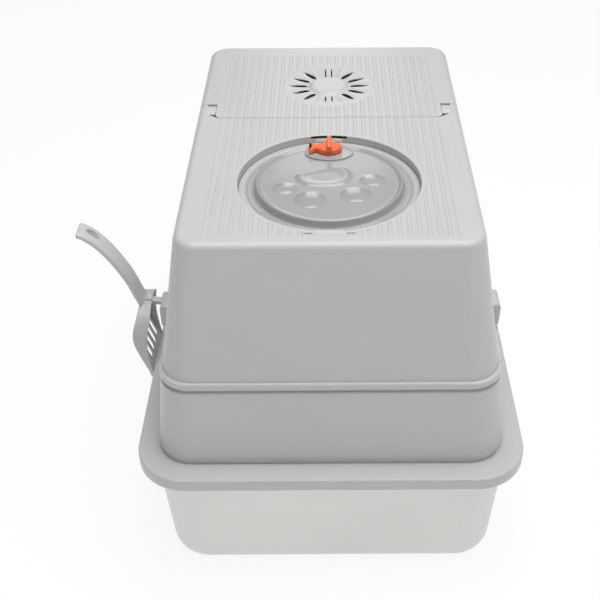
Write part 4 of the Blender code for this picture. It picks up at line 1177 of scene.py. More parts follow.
def vent_seat():
    """The ledge round the vent hole that the vent cap rests on."""
    wall = bpy.context.scene.litter_hood.wall
    seat = DECK_Z - wall - 0.0008
    inner = VENT_RADIUS - 0.003
    profile = [
        (VENT_RADIUS + 0.0002, DECK_Z - 0.0006),
        (VENT_RADIUS + 0.003, DECK_Z - 0.0006),
        (VENT_RADIUS + 0.003, seat - 0.0025),
        (inner, seat - 0.0025),
        (inner, seat),
        (VENT_RADIUS + 0.0002, seat),
    ]
    return turned("vent_seat", profile, (0, VENT_Y))


def vent_hole():
    """The hole for the vent cap, with a fine round at the deck."""
    lip = 0.00006
    radius = VENT_RADIUS + 0.0001
    profile = [(0, DECK_Z + ABOVE_DECK), (radius + lip, DECK_Z + ABOVE_DECK)]
    profile += arc((radius + lip, DECK_Z - lip), lip, 90, 180, 4)
    profile += [(radius, DECK_Z - 0.02), (0, DECK_Z - 0.02)]
    return turned("vent_hole", profile, (0, VENT_Y))


def front_shell():
    sizes = bpy.context.scene.litter_hood
    hood = hood_shell("front_hood_shell")
    keep_inside(hood, hood_region("front_region", sizes.seam_gap / 2))
    cut(hood, entrance_cutter("entrance_in_hood"), vent_hole())
    ear_x = hood_half(DECK_Z) - sizes.ear_width
    tongue_x = ear_x - sizes.notch_width
    join(hood, vent_seat())
    for side in (-1, 1):
        ends = [Vector((side * x, FLAP_AXIS.y, FLAP_AXIS.z)) for x in (tongue_x - 0.010, tongue_x - 0.0006)]
        join(hood, cylinder("tongue_lug", HINGE_LUG_RADIUS, *ends))
    cut(hood, deck_grooves("wide_grooves", True))
    cut(hood, deck_grooves("narrow_grooves", False))
    return hood


# Door


def dome(x, y, centre, half_x, half_y, tilt=0.0):
    """A low dome with a firm edge: its share of full height at (x, y)."""
    dx, dy = x - centre[0], y - centre[1]
    c, s = math.cos(tilt), math.sin(tilt)
    reach = math.hypot((dx * c + dy * s) / half_x, (dy * c - dx * s) / half_y)
    if reach >= 1.0:
        return 0.0
    return (1.0 - reach ** 2.2) ** 0.62


TOES = (
    ((-0.0478, -0.0128), 0.0136, 0.0108, 0.15),
    ((-0.0205, -0.0357), 0.0162, 0.0165, 0.0),
    ((0.0282, -0.0262), 0.0165, 0.0146, 0.0),
    ((0.0470, 0.0031), 0.0141, 0.0118, -0.15),
)


def pad_height(x, y):
    """The big pad's share of full height: a bean with a rolled edge and a shallow dish."""
    u = (x + 0.0062) / 0.031
    if abs(u) >= 1.0:
        return 0.0
    far_reach = 0.0150 + 0.0058 * math.sin(2.2 * u - 0.2) + 0.0035 * u
    v = (y - 0.0125) / (far_reach if y > 0.0125 else 0.0225)
    inside = 1.0 - (abs(u) ** 2.4 + abs(v) ** 2.4) ** (1 / 2.4)
    if inside <= 0.0:
        return 0.0
    roll = math.sin(min(1.0, inside / 0.17) * math.pi / 2)
    dish = max(0.0, min(1.0, (inside - 0.17) / 0.35))
    return 0.9 * roll - 0.36 * dish * dish * (3 - 2 * dish)


def paw_height(x, y):
    height = max(dome(x, y, *toe) for toe in TOES)
    return max(height, pad_height(x, y))


def door_profile():
    """The door's upper side as (radius, z), from its edge to the crown's flat."""
    sizes = bpy.context.scene.litter_door
    lip_z = DECK_Z - sizes.recess_depth + REST_GAP + sizes.wall
    crown = DECK_Z - 0.0010
    rim = sizes.crown_radius
    inner = HATCH_RADIUS - sizes.ledge_width
    channel = lip_z - 0.0011
    points = [
        (DOOR_RADIUS, lip_z - sizes.wall + 0.0001),
        (DOOR_RADIUS, lip_z - 0.0007),
        (DOOR_RADIUS - 0.0002, lip_z - 0.0002),
        (DOOR_RADIUS - 0.0008, lip_z),
        (inner + 0.0002, lip_z),
        (inner - 0.0008, lip_z - 0.0003),
        (inner - 0.0022, lip_z - 0.0014),
        (inner - 0.0040, channel + 0.0005),
        (inner - 0.0052, channel),
        (rim + 0.0046, channel),
        (rim + 0.0030, channel + 0.0004),
        (rim + 0.0019, channel + 0.0018),
        (rim + 0.0012, crown - 0.0022),
        (rim + 0.0006, crown - 0.0008),
        (rim - 0.0003, crown - 0.0001),
        (rim - 0.0010, crown),
        (rim - 0.0018, crown - 0.0003),
        (rim - 0.0028, crown - 0.0014),
        (rim - 0.0040, crown - 0.0022),
        (rim - 0.0052, crown - 0.0024),
    ]
    return points


def door_plate():
    """A dished disc whose inner field carries the raised paw."""
    sizes = bpy.context.scene.litter_door
    steps = 224
    profile = door_profile()
    flat_z = profile[-1][1]
    start = profile[-1][0]
    fields = 66
    for number in range(1, fields):
        profile.append((start * (1 - number / fields), flat_z))
    bm = bmesh.new()
    skins = []
    for side in (0, 1):
        loops = []
        for radius, z in profile[side:]:
            points = []
            for step in range(steps):
                turn = 2 * math.pi * step / steps
                x, y = radius * math.cos(turn), radius * math.sin(turn)
                height = z
                if radius < start:
                    height += sizes.paw_height * paw_height(x, y)
                if side:
                    height -= sizes.wall
                points.append(bm.verts.new((x, y + HATCH_Y, height)))
            loops.append(points)
        skins.append(loops)
    upper, lower = skins
    centre = bm.verts.new((0, HATCH_Y, flat_z + sizes.paw_height * paw_height(0, 0)))
    under = bm.verts.new((0, HATCH_Y, flat_z - sizes.wall))
    for loops, apex in ((upper, centre), (lower, under)):
        for first, second in zip(loops, loops[1:]):
            for i in range(steps):
                j = (i + 1) % steps
                bm.faces.new((first[i], first[j], second[j], second[i]))
        for i in range(steps):
            bm.faces.new((loops[-1][i], loops[-1][(i + 1) % steps], apex))
    for i in range(steps):
        j = (i + 1) % steps
        bm.faces.new((upper[0][i], upper[0][j], lower[0][j], lower[0][i]))
    return object_of("door_plate", mesh_of("door_plate", bm))


def knob_boss():
    """The raised disc that the knob turns on, with a rounded edge."""
    sizes = bpy.context.scene.litter_door
    low = DECK_Z - sizes.recess_depth + 0.0010
    high = DECK_Z - 0.0012
    radius = sizes.boss_radius
    profile = [(0, low), (radius, low), (radius, high - 0.0012)]
    profile += arc((radius - 0.0012, high - 0.0012), 0.0012, 0, 90, 5)
    profile += [(radius - 0.0035, high - 0.0002), (radius - 0.005, high - 0.0005), (0, high - 0.0005)]
    boss = turned("knob_boss", profile, (0, 0), steps=96)
    boss.data.transform(Matrix.Translation((0, KNOB_AXIS.y - 0.003, 0)) @ Matrix.Diagonal((1, 0.63, 1, 1)))
    return boss


def door_piece():
    """The smoked door: plate, boss, hub under it and the arm that runs to its knuckle."""
    sizes = bpy.context.scene.litter_door
    door = door_plate()
    hub = ((0, KNOB_AXIS.y, DECK_Z - 0.0143), (0, KNOB_AXIS.y, DECK_Z - 0.003))
    arm = box(
        "door_arm",
        (-0.0150, DOOR_AXIS.y, DECK_Z - sizes.recess_depth + 0.0006),
        (0.0150, HATCH_Y - DOOR_RADIUS + 0.0035, DECK_Z - sizes.recess_depth + 0.0036),
    )
    join(door, knob_boss(), cylinder("knob_hub", 0.010, *hub))
    join(door, arm)
    return cut(door, edge_trim())


def edge_trim():
    """A ring round the door that takes off whatever of the boss passes its edge."""
    top = DECK_Z + ABOVE_DECK
    bottom = DECK_Z - 0.0095
    outer = DOOR_RADIUS + 0.03
    profile = [(DOOR_RADIUS, bottom), (outer, bottom), (outer, top), (DOOR_RADIUS, top)]
    return turned("edge_trim", profile, (0, HATCH_Y))


def knuckle_piece():
    """The hinge knuckle: a flat-topped barrel flush with the deck."""
    y, z = DOOR_AXIS.y, DOOR_AXIS.z
    top = DECK_Z - 0.0002
    barrel = 0.0036
    outline = [(y + 0.0060, top), (y - 0.0012, top)]
    outline += arc((y, z), barrel, 118, 270, 12)
    outline += [(y + 0.0022, z - barrel), (y + 0.0060, z - barrel + 0.0012)]
    knuckle = prism("door_knuckle", outline, -0.0158, 0.0158, "X")
    return bevel(knuckle, 0.0004, 2, 50)


# Knob


def fish_outline():
    """The knob in plan, from its own axis: an oval body and a forked tail towards -X."""
    body = []
    for step in range(41):
        turn = math.radians(-146 + 292 * step / 40)
        body.append((0.0146 * math.cos(turn), 0.0111 * math.sin(turn)))
    tail = [
        (-0.0150, 0.0042),
        (-0.0190, 0.0076),
        (-0.0218, 0.0088),
        (-0.0228, 0.0078),
        (-0.0224, 0.0030),
        (-0.0221, 0.0000),
        (-0.0224, -0.0030),
        (-0.0228, -0.0078),
        (-0.0218, -0.0088),
        (-0.0190, -0.0076),
        (-0.0150, -0.0042),
    ]
    return body + tail


def knob_piece():
    """A pillowed fish with an upright grip."""
    low = DECK_Z - 0.0012 + REST_GAP
    high = low + 0.0060
    y = KNOB_AXIS.y
    outline = fish_outline()
    rings = []
    for z, grow in ((low, -0.0004), (low + 0.0005, 0.0), (high - 0.0022, 0.0), (high - 0.0010, -0.0005)):
        rings.append([point_grown(outline, i, grow, z, y) for i in range(len(outline))])
    for z, grow in ((high - 0.0003, -0.0013), (high, -0.0024)):
        rings.append([point_grown(outline, i, grow, z, y) for i in range(len(outline))])
    knob = loft("door_knob_fish", rings)
    fin = []
    for x, z in ((-0.0031, -0.0015), (0.0031, -0.0015), (0.0026, 0.0046), (0.0, 0.0055), (-0.0026, 0.0046)):
        fin.append((x, high + z))
    grip = bevel(prism("grip_fin", fin, y - 0.0122, y + 0.0138, "Y"), 0.0006, 2, 40)
    join(knob, made_real(grip))
    return knob


def point_grown(outline, i, grow, z, y):
    """An outline's point moved outwards by grow, at height z."""
    before = Vector(outline[i - 1])
    after = Vector(outline[(i + 1) % len(outline)])
    along = (after - before).normalized()
    out = Vector((along.y, -along.x))
    x0, y0 = outline[i]
    return Vector((x0 + out.x * grow, y0 + out.y * grow + y, z))


# Vent


def vent_height(radius, turn):
    """Height of the vent cap's top: a button, petals between the slots and a flat border."""
    sizes = bpy.context.scene.litter_vent
    top = DECK_Z - 0.0001
    button = sizes.button
    if radius <= button:
        fall = min(1.0, max(0.0, (radius - button + 0.0035) / 0.0035))
        return top + 0.0009 * (1 - fall * fall)
    trough = top - 0.0008
    start, end = button + 0.0022, sizes.slot_outer + 0.0030
    if radius >= end:
        return top
    enter = min(1.0, (radius - button) / 0.003)
    leave = min(1.0, (end - radius) / 0.006)
    wave = 0.5 - 0.5 * math.cos(2 * math.pi * (turn % sizes.spread) / sizes.spread)
    ridge = sizes.petal * wave * min(1.0, (radius - start) / 0.008 if radius > start else 0.0)
    base = top + (trough - top) * min(enter, leave)
    sink = sizes.dish * enter * max(0.0, (end - radius) / (end - button)) ** 0.8
    return base + ridge * leave - sink


def vent_plate():
    """A disc on a polar grid, shaped by vent_height."""
    sizes = bpy.context.scene.litter_vent
    steps = 168
    rows = 46
    bottom = VENT_LOW.z
    bm = bmesh.new()
    loops = []
    edge = [
        (VENT_RADIUS, bottom + 0.0004),
        (VENT_RADIUS, DECK_Z - 0.0003),
        (VENT_RADIUS - 0.0002, DECK_Z - 0.0001),
    ]
    for radius, z in edge:
        loops.append([bm.verts.new(polar(radius, 2 * math.pi * i / steps, z)) for i in range(steps)])
    for row in range(rows):
        radius = (VENT_RADIUS - 0.0008) * (1 - row / rows)
        points = []
        for i in range(steps):
            turn = 2 * math.pi * i / steps
            height = vent_height(radius, fan_turn(turn, sizes.spread))
            points.append(bm.verts.new(polar(radius, turn, height)))
        loops.append(points)
    for first, second in zip(loops, loops[1:]):
        for i in range(steps):
            j = (i + 1) % steps
            bm.faces.new((first[i], first[j], second[j], second[i]))
    apex = bm.verts.new(polar(0.0, 0.0, vent_height(0.0, 0.0)))
    for i in range(steps):
        bm.faces.new((loops[-1][i], loops[-1][(i + 1) % steps], apex))
    bm.faces.new(loops[0][::-1])
    return object_of("vent_plate", mesh_of("vent_plate", bm))


def polar(radius, turn, z):
    return (radius * math.cos(turn), VENT_Y + radius * math.sin(turn), z)


def fan_turn(turn, spread):
    """The angle from the middle slot of the nearer half, so that troughs fall on the slots."""
    offset = turn if math.cos(turn) > 0 else turn - math.pi
    return offset + spread * 8


def vent_piece():
    sizes = bpy.context.scene.litter_vent
    vent = vent_plate()
    slots = slot_tree(grey_plastic()).run(
        "slot_cutters",
        Slots=sizes.slots,
        Spread=sizes.spread,
        Inner=sizes.slot_inner,
        Outer=sizes.slot_outer,
        Width=sizes.slot_width,
        Middle=(0.0, VENT_Y, DECK_Z),
    )
    cut(vent, slots)
    slits = []
    half = 0.0008
    for x in (-0.0040, 0.0038):
        for low, high in ((0.0265, 0.0470), (-0.0440, -0.0285)):
            near = (x - half, VENT_Y + low, DECK_Z - 0.02)
            far = (x + half, VENT_Y + high, DECK_Z + 0.02)
            slits.append(box("slit", near, far))
    return cut(vent, *slits)


# Latches, scoop and hanger


def latch_piece(side):
    """A lever that hooks over the hood's bead, with a ribbed thumb pad."""
    word = "right" if side > 0 else "left"
    low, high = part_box(f"side_latch_{word}")
    pin_low, pin_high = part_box(f"latch_pin_{word}")
    x, z = (pin_low.x + pin_high.x) / 2, (pin_low.z + pin_high.z) / 2
    sizes = bpy.context.scene.litter_hood
    top = RIM_Z + sizes.bead_height
    inner = side * (BEAD_HALF + 0.0020)
    hook = side * (hood_half(top) + 0.0016)
    outline = []
    for px, pz in arc((0, 0), 0.0036, 180, 360, 12):
        outline.append((x + side * px, z + pz))
    outline += [(x + side * 0.0051, z + 0.006), (x + side * 0.0053, top - 0.006)]
    for px, pz in arc((0.0003, top + 0.0018 - z), 0.0052, 8, 100, 8):
        outline.append((x + side * px, z + pz))
    outline += [(hook, top + 0.0055), (hook, top + 0.0014), (inner, top + 0.0012), (inner, z + 0.008)]
    latch = prism(f"latch_{word}", outline, low.y + 0.0001, high.y - 0.0001, "Y")
    bevel(latch, 0.0007, 3, 50)
    made_real(latch)
    ridges = []
    for number in range(4):
        ridge_z = z + 0.0045 + number * 0.0032
        ends = ((x + side * 0.0054, low.y + 0.006, ridge_z), (x + side * 0.0054, high.y - 0.006, ridge_z))
        ridges.append(cylinder("latch_ridge", 0.0006, *ends, steps=12))
    return cut(latch, *ridges)


def scoop_side():
    """The bowl's side view: its outer line from the neck down to the tip, then the mouth's rim."""
    x, z = -FLANGE_HALF, FLANGE_Z
    outer = [
        (x - 0.0065, z + 0.0750),
        (x - 0.0128, z + 0.0700),
        (x - 0.0184, z + 0.0610),
        (x - 0.0226, z + 0.0460),
        (x - 0.0222, z + 0.0300),
        (x - 0.0165, z + 0.0100),
        (x - 0.0090, z - 0.0120),
        (x - 0.0055, z - 0.0300),
    ]
    rim = [
        (x - 0.0022, z - 0.0300),
        (x - 0.0060, z + 0.0040),
        (x - 0.0070, z + 0.0250),
        (x - 0.0045, z + 0.0460),
        (x - 0.0010, z + 0.0640),
        (x - 0.0010, z + 0.0740),
    ]
    return outer, rim


def scoop_front(name, inward):
    """The bowl seen along X, moved in by the wall: a round tip, straight sides and shoulders."""
    sizes = bpy.context.scene.litter_scoop
    half = SCOOP_HALF - inward
    neck = sizes.neck_width / 2 - inward
    radius = sizes.tip_radius - inward
    tip = FLANGE_Z - SCOOP_TIP_DROP + inward
    side = arc((half - radius, tip + radius), radius, -90, 0, 8)
    rise = (sizes.shoulder_rise - inward) / (half - neck)
    for y, z in arc((0, 0), half - neck, 0, 90, 16):
        side.append((neck + y, FLANGE_Z + sizes.shoulder + rise * z))
    side.append((neck, FLANGE_Z + 0.11))
    outline = [(SCOOP_Y + y, z) for y, z in side] + [(SCOOP_Y - y, z) for y, z in side[::-1]]
    return prism(name, outline, -FLANGE_HALF - 0.08, -FLANGE_HALF + 0.08, "X")


def scoop_piece():
    sizes = bpy.context.scene.litter_scoop
    y, half = SCOOP_Y, SCOOP_HALF
    outer, rim = scoop_side()
    smooth_outer = [tuple(point) for point in smooth_line(outer, 5)]
    smooth_rim = [tuple(point) for point in smooth_line(rim, 4)]
    bowl = prism("scoop_bowl", smooth_outer + smooth_rim, y - half, y + half, "Y")
    keep_inside(bowl, scoop_front("bowl_front", 0.0))
    bevel(bowl, 0.0009, 3, 55)
    made_real(bowl)
    wall = sizes.wall
    inside = []
    for number, point in enumerate(smooth_outer[3:-3]):
        before = Vector(smooth_outer[number + 2])
        after = Vector(smooth_outer[number + 4])
        along = (after - before).normalized()
        inward = Vector((-along.y, along.x)) * wall
        inside.append((point[0] + inward.x, point[1] + inward.y))
    out = [(rim[0][0] + 0.02, inside[-1][1] - 0.002), (rim[-2][0] + 0.02, rim[-2][1] + 0.004)]
    cavity = prism("bowl_cavity", inside + out, y - half, y + half, "Y")
    keep_inside(cavity, scoop_front("cavity_front", wall))
    cut(bowl, cavity)
    cut(bowl, scoop_slot_cutters(y))
    join(bowl, made_real(handle_piece(y)))
    cut(bowl, handle_hole(y))
    join(bowl, hook_bar(y))
    return bowl


def scoop_slot_tree(material):
    """One row of upright round-ended slots."""
    n = Nodes("scoop_slots")
    count = n.input("Count", "NodeSocketInt")
    pitch, width, height = [n.input(name) for name in ("Pitch", "Width", "Height")]
    start = n.input("Start", "NodeSocketVector")
    rail = n.node(
        "GeometryNodeMeshLine",
        mode="OFFSET",
        Count=count,
        Start_Location=start,
        Offset=n.vector(0.0, pitch, 0.0),
    )
    radius = n.math("MULTIPLY", width, 0.5)
    peg = n.node("GeometryNodeMeshCylinder", Vertices=20, Depth=0.05, Radius=radius)
    place = n.node("GeometryNodeInputPosition")
    parts = n.node("ShaderNodeSeparateXYZ", Vector=place.outputs[0])
    sign = n.math("SIGN", parts.outputs["X"])
    grown = n.math("MULTIPLY", sign, n.math("MULTIPLY", n.math("SUBTRACT", height, width), 0.5))
    stretched = n.node(
        "GeometryNodeSetPosition", Geometry=peg.outputs[0], Offset=n.vector(grown, 0.0, 0.0)
    )
    laid = n.node(
        "GeometryNodeTransform", Geometry=stretched.outputs[0], Rotation=(0.0, math.pi / 2, 0.0)
    )
    placed = n.node("GeometryNodeInstanceOnPoints", Points=rail.outputs[0], Instance=laid.outputs[0])
    n.finish(placed.outputs[0], material)
    return n


def scoop_slot_cutters(y):
    """Two rows of slots through the bowl's back, as one mesh."""
    sizes = bpy.context.scene.litter_scoop
    tree = scoop_slot_tree(grey_plastic())
    first = y - 2 * sizes.slot_pitch
    rows = []
    for low, high in ((-0.012, 0.014), (0.020, 0.050)):
        row = tree.run(
            "slot_row",
            Count=5,
            Pitch=sizes.slot_pitch,
            Width=sizes.slot_width,
            Height=high - low,
            Start=(-FLANGE_HALF - 0.022, first, FLANGE_Z + (low + high) / 2),
        )
        rows.append(row)
    bm = bmesh.new()
    for row in rows:
        bm.from_mesh(row.data)
        bpy.data.objects.remove(row)
    return object_of("scoop_slots", mesh_of("scoop_slots", bm))


def handle_line():
    """The handle's middle line as (x, z), from the bowl's neck to the tip."""
    x, z = -FLANGE_HALF, FLANGE_Z
    return [
        (x - 0.0100, z + 0.0620),
        (x - 0.0168, z + 0.0810),
        (x - 0.0245, z + 0.1040),
        (x - 0.0340, z + 0.1240),
        (x - 0.0450, z + 0.1430),
        (x - 0.0575, z + 0.1590),
        (x - 0.0690, z + 0.1690),
        (x - 0.0780, z + 0.1730),
    ]


def handle_piece(y):
    """A flat oval section swept along the handle's line, with a rounded tip."""
    sizes = bpy.context.scene.litter_scoop
    line = [Vector((x, y, z)) for x, z in handle_line()]
    line = smooth_line(line, 6)
    rings = []
    last = len(line) - 1
    for number, point in enumerate(line):
        before = line[max(number - 1, 0)]
        after = line[min(number + 1, last)]
        along = (after - before).normalized()
        left = (last - number) / 3
        end = math.sqrt(1 - (1 - min(1.0, left + 0.35)) ** 2)
        across = Vector((along.z, 0, -along.x))
        points = []
        for step in range(28):
            turn = 2 * math.pi * (step + 0.5) / 28
            wide = math.copysign(abs(math.cos(turn)) ** 0.55, math.cos(turn)) * sizes.handle_width / 2
            thick = math.copysign(abs(math.sin(turn)) ** 0.7, math.sin(turn)) * sizes.handle_thickness / 2
            points.append(point + Vector((0, wide * end, 0)) + across * thick * max(end, 0.6))
        rings.append(points)
    return loft("handle", rings)


def handle_hole(y):
    """The long hole near the handle's tip, square to the handle."""
    line = [Vector((x, y, z)) for x, z in handle_line()]
    centre = (line[-3] + line[-2]) / 2
    along = (line[-2] - line[-3]).normalized()
    across = Vector((along.z, 0, -along.x))
    bm = bmesh.new()
    bmesh.ops.create_cone(
        bm, cap_ends=True, segments=36, radius1=HOLE_RADIUS, radius2=HOLE_RADIUS, depth=0.03
    )
    turn = Matrix((along, Vector((0, 1, 0)), across)).transposed().to_4x4()
    stretch = Matrix.Scale(HOLE_STRETCH, 4, Vector((1, 0, 0)))
    bmesh.ops.transform(bm, matrix=Matrix.Translation(centre) @ turn @ stretch, verts=bm.verts)
    return object_of("handle_hole", mesh_of("handle_hole", bm))


def hook_bar(y):
    """The bar from the scoop's neck to the hanger, with a tongue turned down into it."""
    top = HANGER_HIGH.z + 0.0049
    neck = -FLANGE_HALF - 0.006
    outline = [
        (neck - 0.004, top + 0.004),
        (POCKET_X + 0.0002, top),
        (POCKET_X + 0.0002, HANGER_LOW.z + 0.011),
        (POCKET_X - HOOK_TONGUE, HANGER_LOW.z + 0.011),
        (POCKET_X - HOOK_TONGUE, top - HOOK_THICKNESS),
        (neck - 0.004, top + 0.004 - 0.0055),
    ]
    bar = prism("hook_bar", outline, y - HOOK_HALF_WIDTH, y + HOOK_HALF_WIDTH, "Y")
    return made_real(bevel(bar, 0.0006, 2, 40))


def hanger_piece():
    """The pocket on the frame's wall that takes the scoop's hook."""
    low, high = HANGER_LOW, HANGER_HIGH
    back = low.x + HANGER_DEPTH
    face = low.x
    outline = [(back, low.z), (high.x, high.z), (face + 0.002, high.z), (face, high.z - 0.002)]
    outline += [(face, low.z + 0.004), (face + 0.004, low.z)]
    hanger = prism("hanger", outline, low.y, high.y, "Y")
    bevel(hanger, 0.0009, 3, 25)
    made_real(hanger)
    side = HOOK_HALF_WIDTH + HOOK_FIT
    pocket_low = (POCKET_X - HOOK_TONGUE - HOOK_FIT, SCOOP_Y - side, low.z + POCKET_FLOOR)
    pocket_high = (POCKET_X + 0.0010, SCOOP_Y + side, high.z + 0.01)
    return cut(hanger, box("hanger_pocket", pocket_low, pocket_high))


# Operators


class LITTER_OT_pan(bpy.types.Operator):
    """Build the steel pan"""

    bl_idname = "litter.pan"
    bl_label = "Litter Pan"

    def execute(self, context):
        rings = pan_rings(0.0) + pan_rings(PAN_STEEL)[::-1]
        pan = loft("pan_shell", rings)
        finish = pan_steel(context.scene.litter_finish)
        finished(pan, "litter_pan_shell", "pan", finish, ["litter_pan"])
        return {"FINISHED"}


class LITTER_OT_guard_frame(bpy.types.Operator):
    """Build the guard frame with its flange and latch lugs"""

    bl_idname = "litter.guard_frame"
    bl_label = "Guard Frame"

    def execute(self, context):
        collar = loft("collar", frame_rings(), endless=True)
        cut(collar, entrance_cutter("entrance_in_frame"))
        join(collar, *latch_lugs(-1), *latch_lugs(1))
        finished(collar, "guard_frame_shell", "cover", grey_plastic(), ["guard_frame"])
        return {"FINISHED"}


class LITTER_OT_hood(bpy.types.Operator):
    """Build both hood shells with their grooved deck"""

    bl_idname = "litter.hood"
    bl_label = "Hood Shells"

    def execute(self, context):
        finished(rear_shell(), "rear_hood_moulding", "cover", grey_plastic(), ["rear_hood"])
        # The strike strip's near-white plastic is a painted highlight.
        strip = moulded_plastic("grey_plastic_painted_highlight", (0.86, 0.86, 0.86), 0.3)
        finished(strike_strip(), "strike_strip", "cover", strip)
        # The near-black plate here is a painted shadow inside the strike slot.
        finished(painted_slot_shadow(), "painted_slot_shadow", "cover", carbon_foam_and_slot_shadow())
        for side, word in ((-1, "left"), (1, "right")):
            finished(hinge_bridge(side), f"hinge_bridge_{word}", "cover", grey_plastic())
        finished(front_shell(), "front_hood_moulding", "flap", grey_plastic(), ["front_hood"])
        return {"FINISHED"}


class LITTER_OT_door(bpy.types.Operator):
    """Build the smoked door and its hinge knuckle"""

    bl_idname = "litter.door"
    bl_label = "Top Door"

    def execute(self, context):
        finish = smoked_door(context.scene.litter_finish)
        finished(door_piece(), "top_door_plate", "door", finish, ["top_door"])
        finished(knuckle_piece(), "door_knuckle_cover", "door", grey_plastic())
        return {"FINISHED"}


class LITTER_OT_knob(bpy.types.Operator):
    """Build the fish-shaped knob"""

    bl_idname = "litter.knob"
    bl_label = "Knob"

    def execute(self, context):
        finish = orange_plastic(context.scene.litter_finish)
        finished(knob_piece(), "door_knob_fish", "knob", finish, ["door_knob"], sharp=40.0)
        return {"FINISHED"}


class LITTER_OT_vent(bpy.types.Operator):
    """Build the vent cap"""

    bl_idname = "litter.vent"
    bl_label = "Vent Cap"

    def execute(self, context):
        finished(vent_piece(), "vent_cap_moulding", "vent", grey_plastic(), ["vent_cap"])
        return {"FINISHED"}


class LITTER_OT_latches(bpy.types.Operator):
    """Build the two side latches"""

    bl_idname = "litter.latches"
    bl_label = "Side Latches"

    def execute(self, context):
        for side, word in ((-1, "left"), (1, "right")):
            name = f"side_latch_{word}"
            lever = latch_piece(side)
            finished(lever, f"{name}_lever", f"latch_{word}", grey_plastic(), [name])
        return {"FINISHED"}


class LITTER_OT_scoop(bpy.types.Operator):
    """Build the scoop and the hanger it hooks into"""

    bl_idname = "litter.scoop"
    bl_label = "Scoop and Hanger"

    def execute(self, context):
        hanger = hanger_piece()
        finished(hanger, "scoop_hanger_pocket", "cover", grey_plastic(), ["scoop_hanger"])
        finished(scoop_piece(), "scoop_moulding", "scoop", grey_plastic(), ["scoop"])
        return {"FINISHED"}


class LITTER_OT_carried(bpy.types.Operator):
    """Give the carried-over pins, screws, cam and filter their finishes"""

    bl_idname = "litter.carried"
    bl_label = "Pins and Inner Parts"

    def execute(self, context):
        steel = ("door_hinge_pin", "cam_screw", "latch_pin_left", "latch_pin_right")
        steel += ("hanger_screw_1", "hanger_screw_2")
        plastic = ("flap_pin_left", "flap_pin_right", "knob_spindle", "latch_cam", "filter_retainer")
        groups = ((steel, bright_steel()), (plastic, grey_plastic()), (("carbon_filter",), carbon_foam_and_slot_shadow()))
        for names, finish in groups:
            for name in names:
                node = frame["nodes"][name]
                node.data.materials.clear()
                node.data.materials.append(finish)
        return {"FINISHED"}


class LITTER_OT_stage(bpy.types.Operator):
    """Set the camera, the pale floor and the studio lights"""

    bl_idname = "litter.stage"
    bl_label = "Stage"

    def execute(self, context):
        settings = context.scene.litter_studio
        set_camera(context.scene, settings)
        set_floor()
        set_lights(context.scene, settings)
        return {"FINISHED"}


def set_camera(scene, settings):
    camera = bpy.data.cameras.new("camera")
    camera.lens = settings.camera_lens
    camera.sensor_width = 36.0
    camera.shift_x = settings.camera_shift
    camera.clip_end = 50.0
    obj = object_of("camera", camera)
    obj.location = settings.camera_place
    tilt = Matrix.Rotation(math.pi / 2 - settings.camera_tilt, 4, "X")
    obj.rotation_euler = (tilt @ Matrix.Rotation(settings.camera_roll, 4, "Z")).to_euler()
    scene.camera = obj


def set_floor():
    bm = bmesh.new()
    bmesh.ops.create_grid(bm, x_segments=1, y_segments=1, size=9.0)
    floor = object_of("floor", mesh_of("floor", bm, recalculate=False))
    floor.location.z = -0.0003
    s = Shader("pale_floor")
    s.surface.inputs["Base Color"].default_value = (0.14, 0.14, 0.14, 1.0)
    s.surface.inputs["Roughness"].default_value = 0.8
    s.surface.inputs["Specular IOR Level"].default_value = 0.0
    s.surface.inputs["Emission Color"].default_value = (1.0, 1.0, 1.0, 1.0)
    s.surface.inputs["Emission Strength"].default_value = 0.88
    floor.data.materials.append(s.material)


def area_light(name, place, aim, size, watts):
    lamp = bpy.data.lights.new(name, "AREA")
    lamp.shape = "RECTANGLE"
    lamp.size, lamp.size_y = size
    lamp.energy = watts
    obj = object_of(name, lamp)
    obj.location = place
    obj.rotation_euler = (Vector(aim) - Vector(place)).to_track_quat("-Z", "Y").to_euler()
    return obj


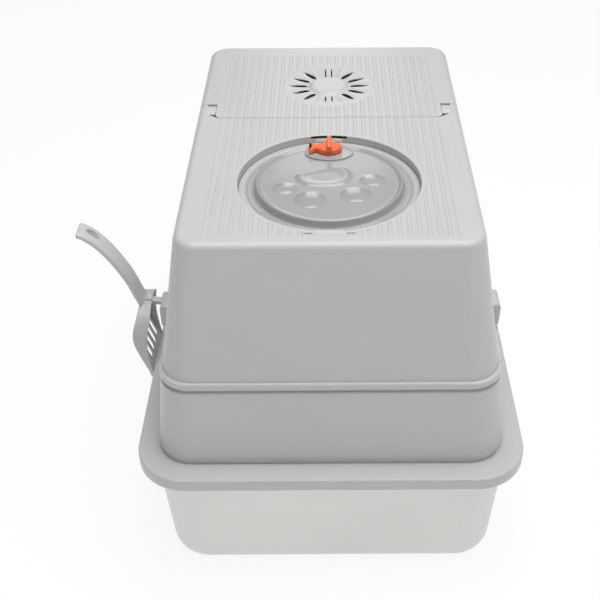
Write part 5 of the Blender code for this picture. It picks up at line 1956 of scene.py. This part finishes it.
def set_lights(scene, settings):
    world = bpy.data.worlds.new("studio")
    world.use_nodes = True
    backdrop = world.node_tree.nodes["Background"]
    backdrop.inputs["Color"].default_value = (1.0, 1.0, 1.0, 1.0)
    backdrop.inputs["Strength"].default_value = settings.sky
    scene.world = world
    area_light("overhead", (0.30, -0.32, 2.6), (0.0, -0.1, 0.2), (2.4, 2.4), settings.overhead)
    width, height = 0.5, 1.9
    watts = settings.card * width * height * math.pi
    area_light("card_behind", (0.0, 3.1, 1.34), (0.0, 0.0, 1.0), (width, height), watts)
    scene.view_settings.view_transform = "Standard"
    scene.view_settings.look = "None"


class LITTER_PT_panel(bpy.types.Panel):
    """The litter box's build steps"""

    bl_idname = "LITTER_PT_panel"
    bl_label = "Hooded Litter Box"
    bl_space_type = "VIEW_3D"
    bl_region_type = "UI"
    bl_category = "Litter Box"

    def draw(self, context):
        for operator in OPERATORS:
            self.layout.operator(operator.bl_idname)


GROUPS = {
    "litter_pan": LitterPanSizes,
    "litter_frame": GuardFrameSizes,
    "litter_hood": HoodSizes,
    "litter_grooves": DeckGrooveSizes,
    "litter_entrance": EntranceSizes,
    "litter_door": DoorSizes,
    "litter_vent": VentSizes,
    "litter_scoop": ScoopSizes,
    "litter_finish": FinishSettings,
    "litter_studio": StudioSettings,
}
OPERATORS = (
    LITTER_OT_stage,
    LITTER_OT_pan,
    LITTER_OT_guard_frame,
    LITTER_OT_hood,
    LITTER_OT_door,
    LITTER_OT_knob,
    LITTER_OT_vent,
    LITTER_OT_latches,
    LITTER_OT_scoop,
    LITTER_OT_carried,
)


def register():
    for name, group in GROUPS.items():
        bpy.utils.register_class(group)
        setattr(bpy.types.Scene, name, bpy.props.PointerProperty(type=group))
    for operator in OPERATORS:
        bpy.utils.register_class(operator)
    bpy.utils.register_class(LITTER_PT_panel)


def unregister():
    bpy.utils.unregister_class(LITTER_PT_panel)
    for operator in reversed(OPERATORS):
        bpy.utils.unregister_class(operator)
    for name, group in GROUPS.items():
        delattr(bpy.types.Scene, name)
        bpy.utils.unregister_class(group)


def main():
    register()
    for operator in OPERATORS:
        group, name = operator.bl_idname.split(".")
        if getattr(getattr(bpy.ops, group), name)() != {"FINISHED"}:
            raise RuntimeError(f"{operator.bl_label} did not finish")


if __name__ == "__main__":
    main()
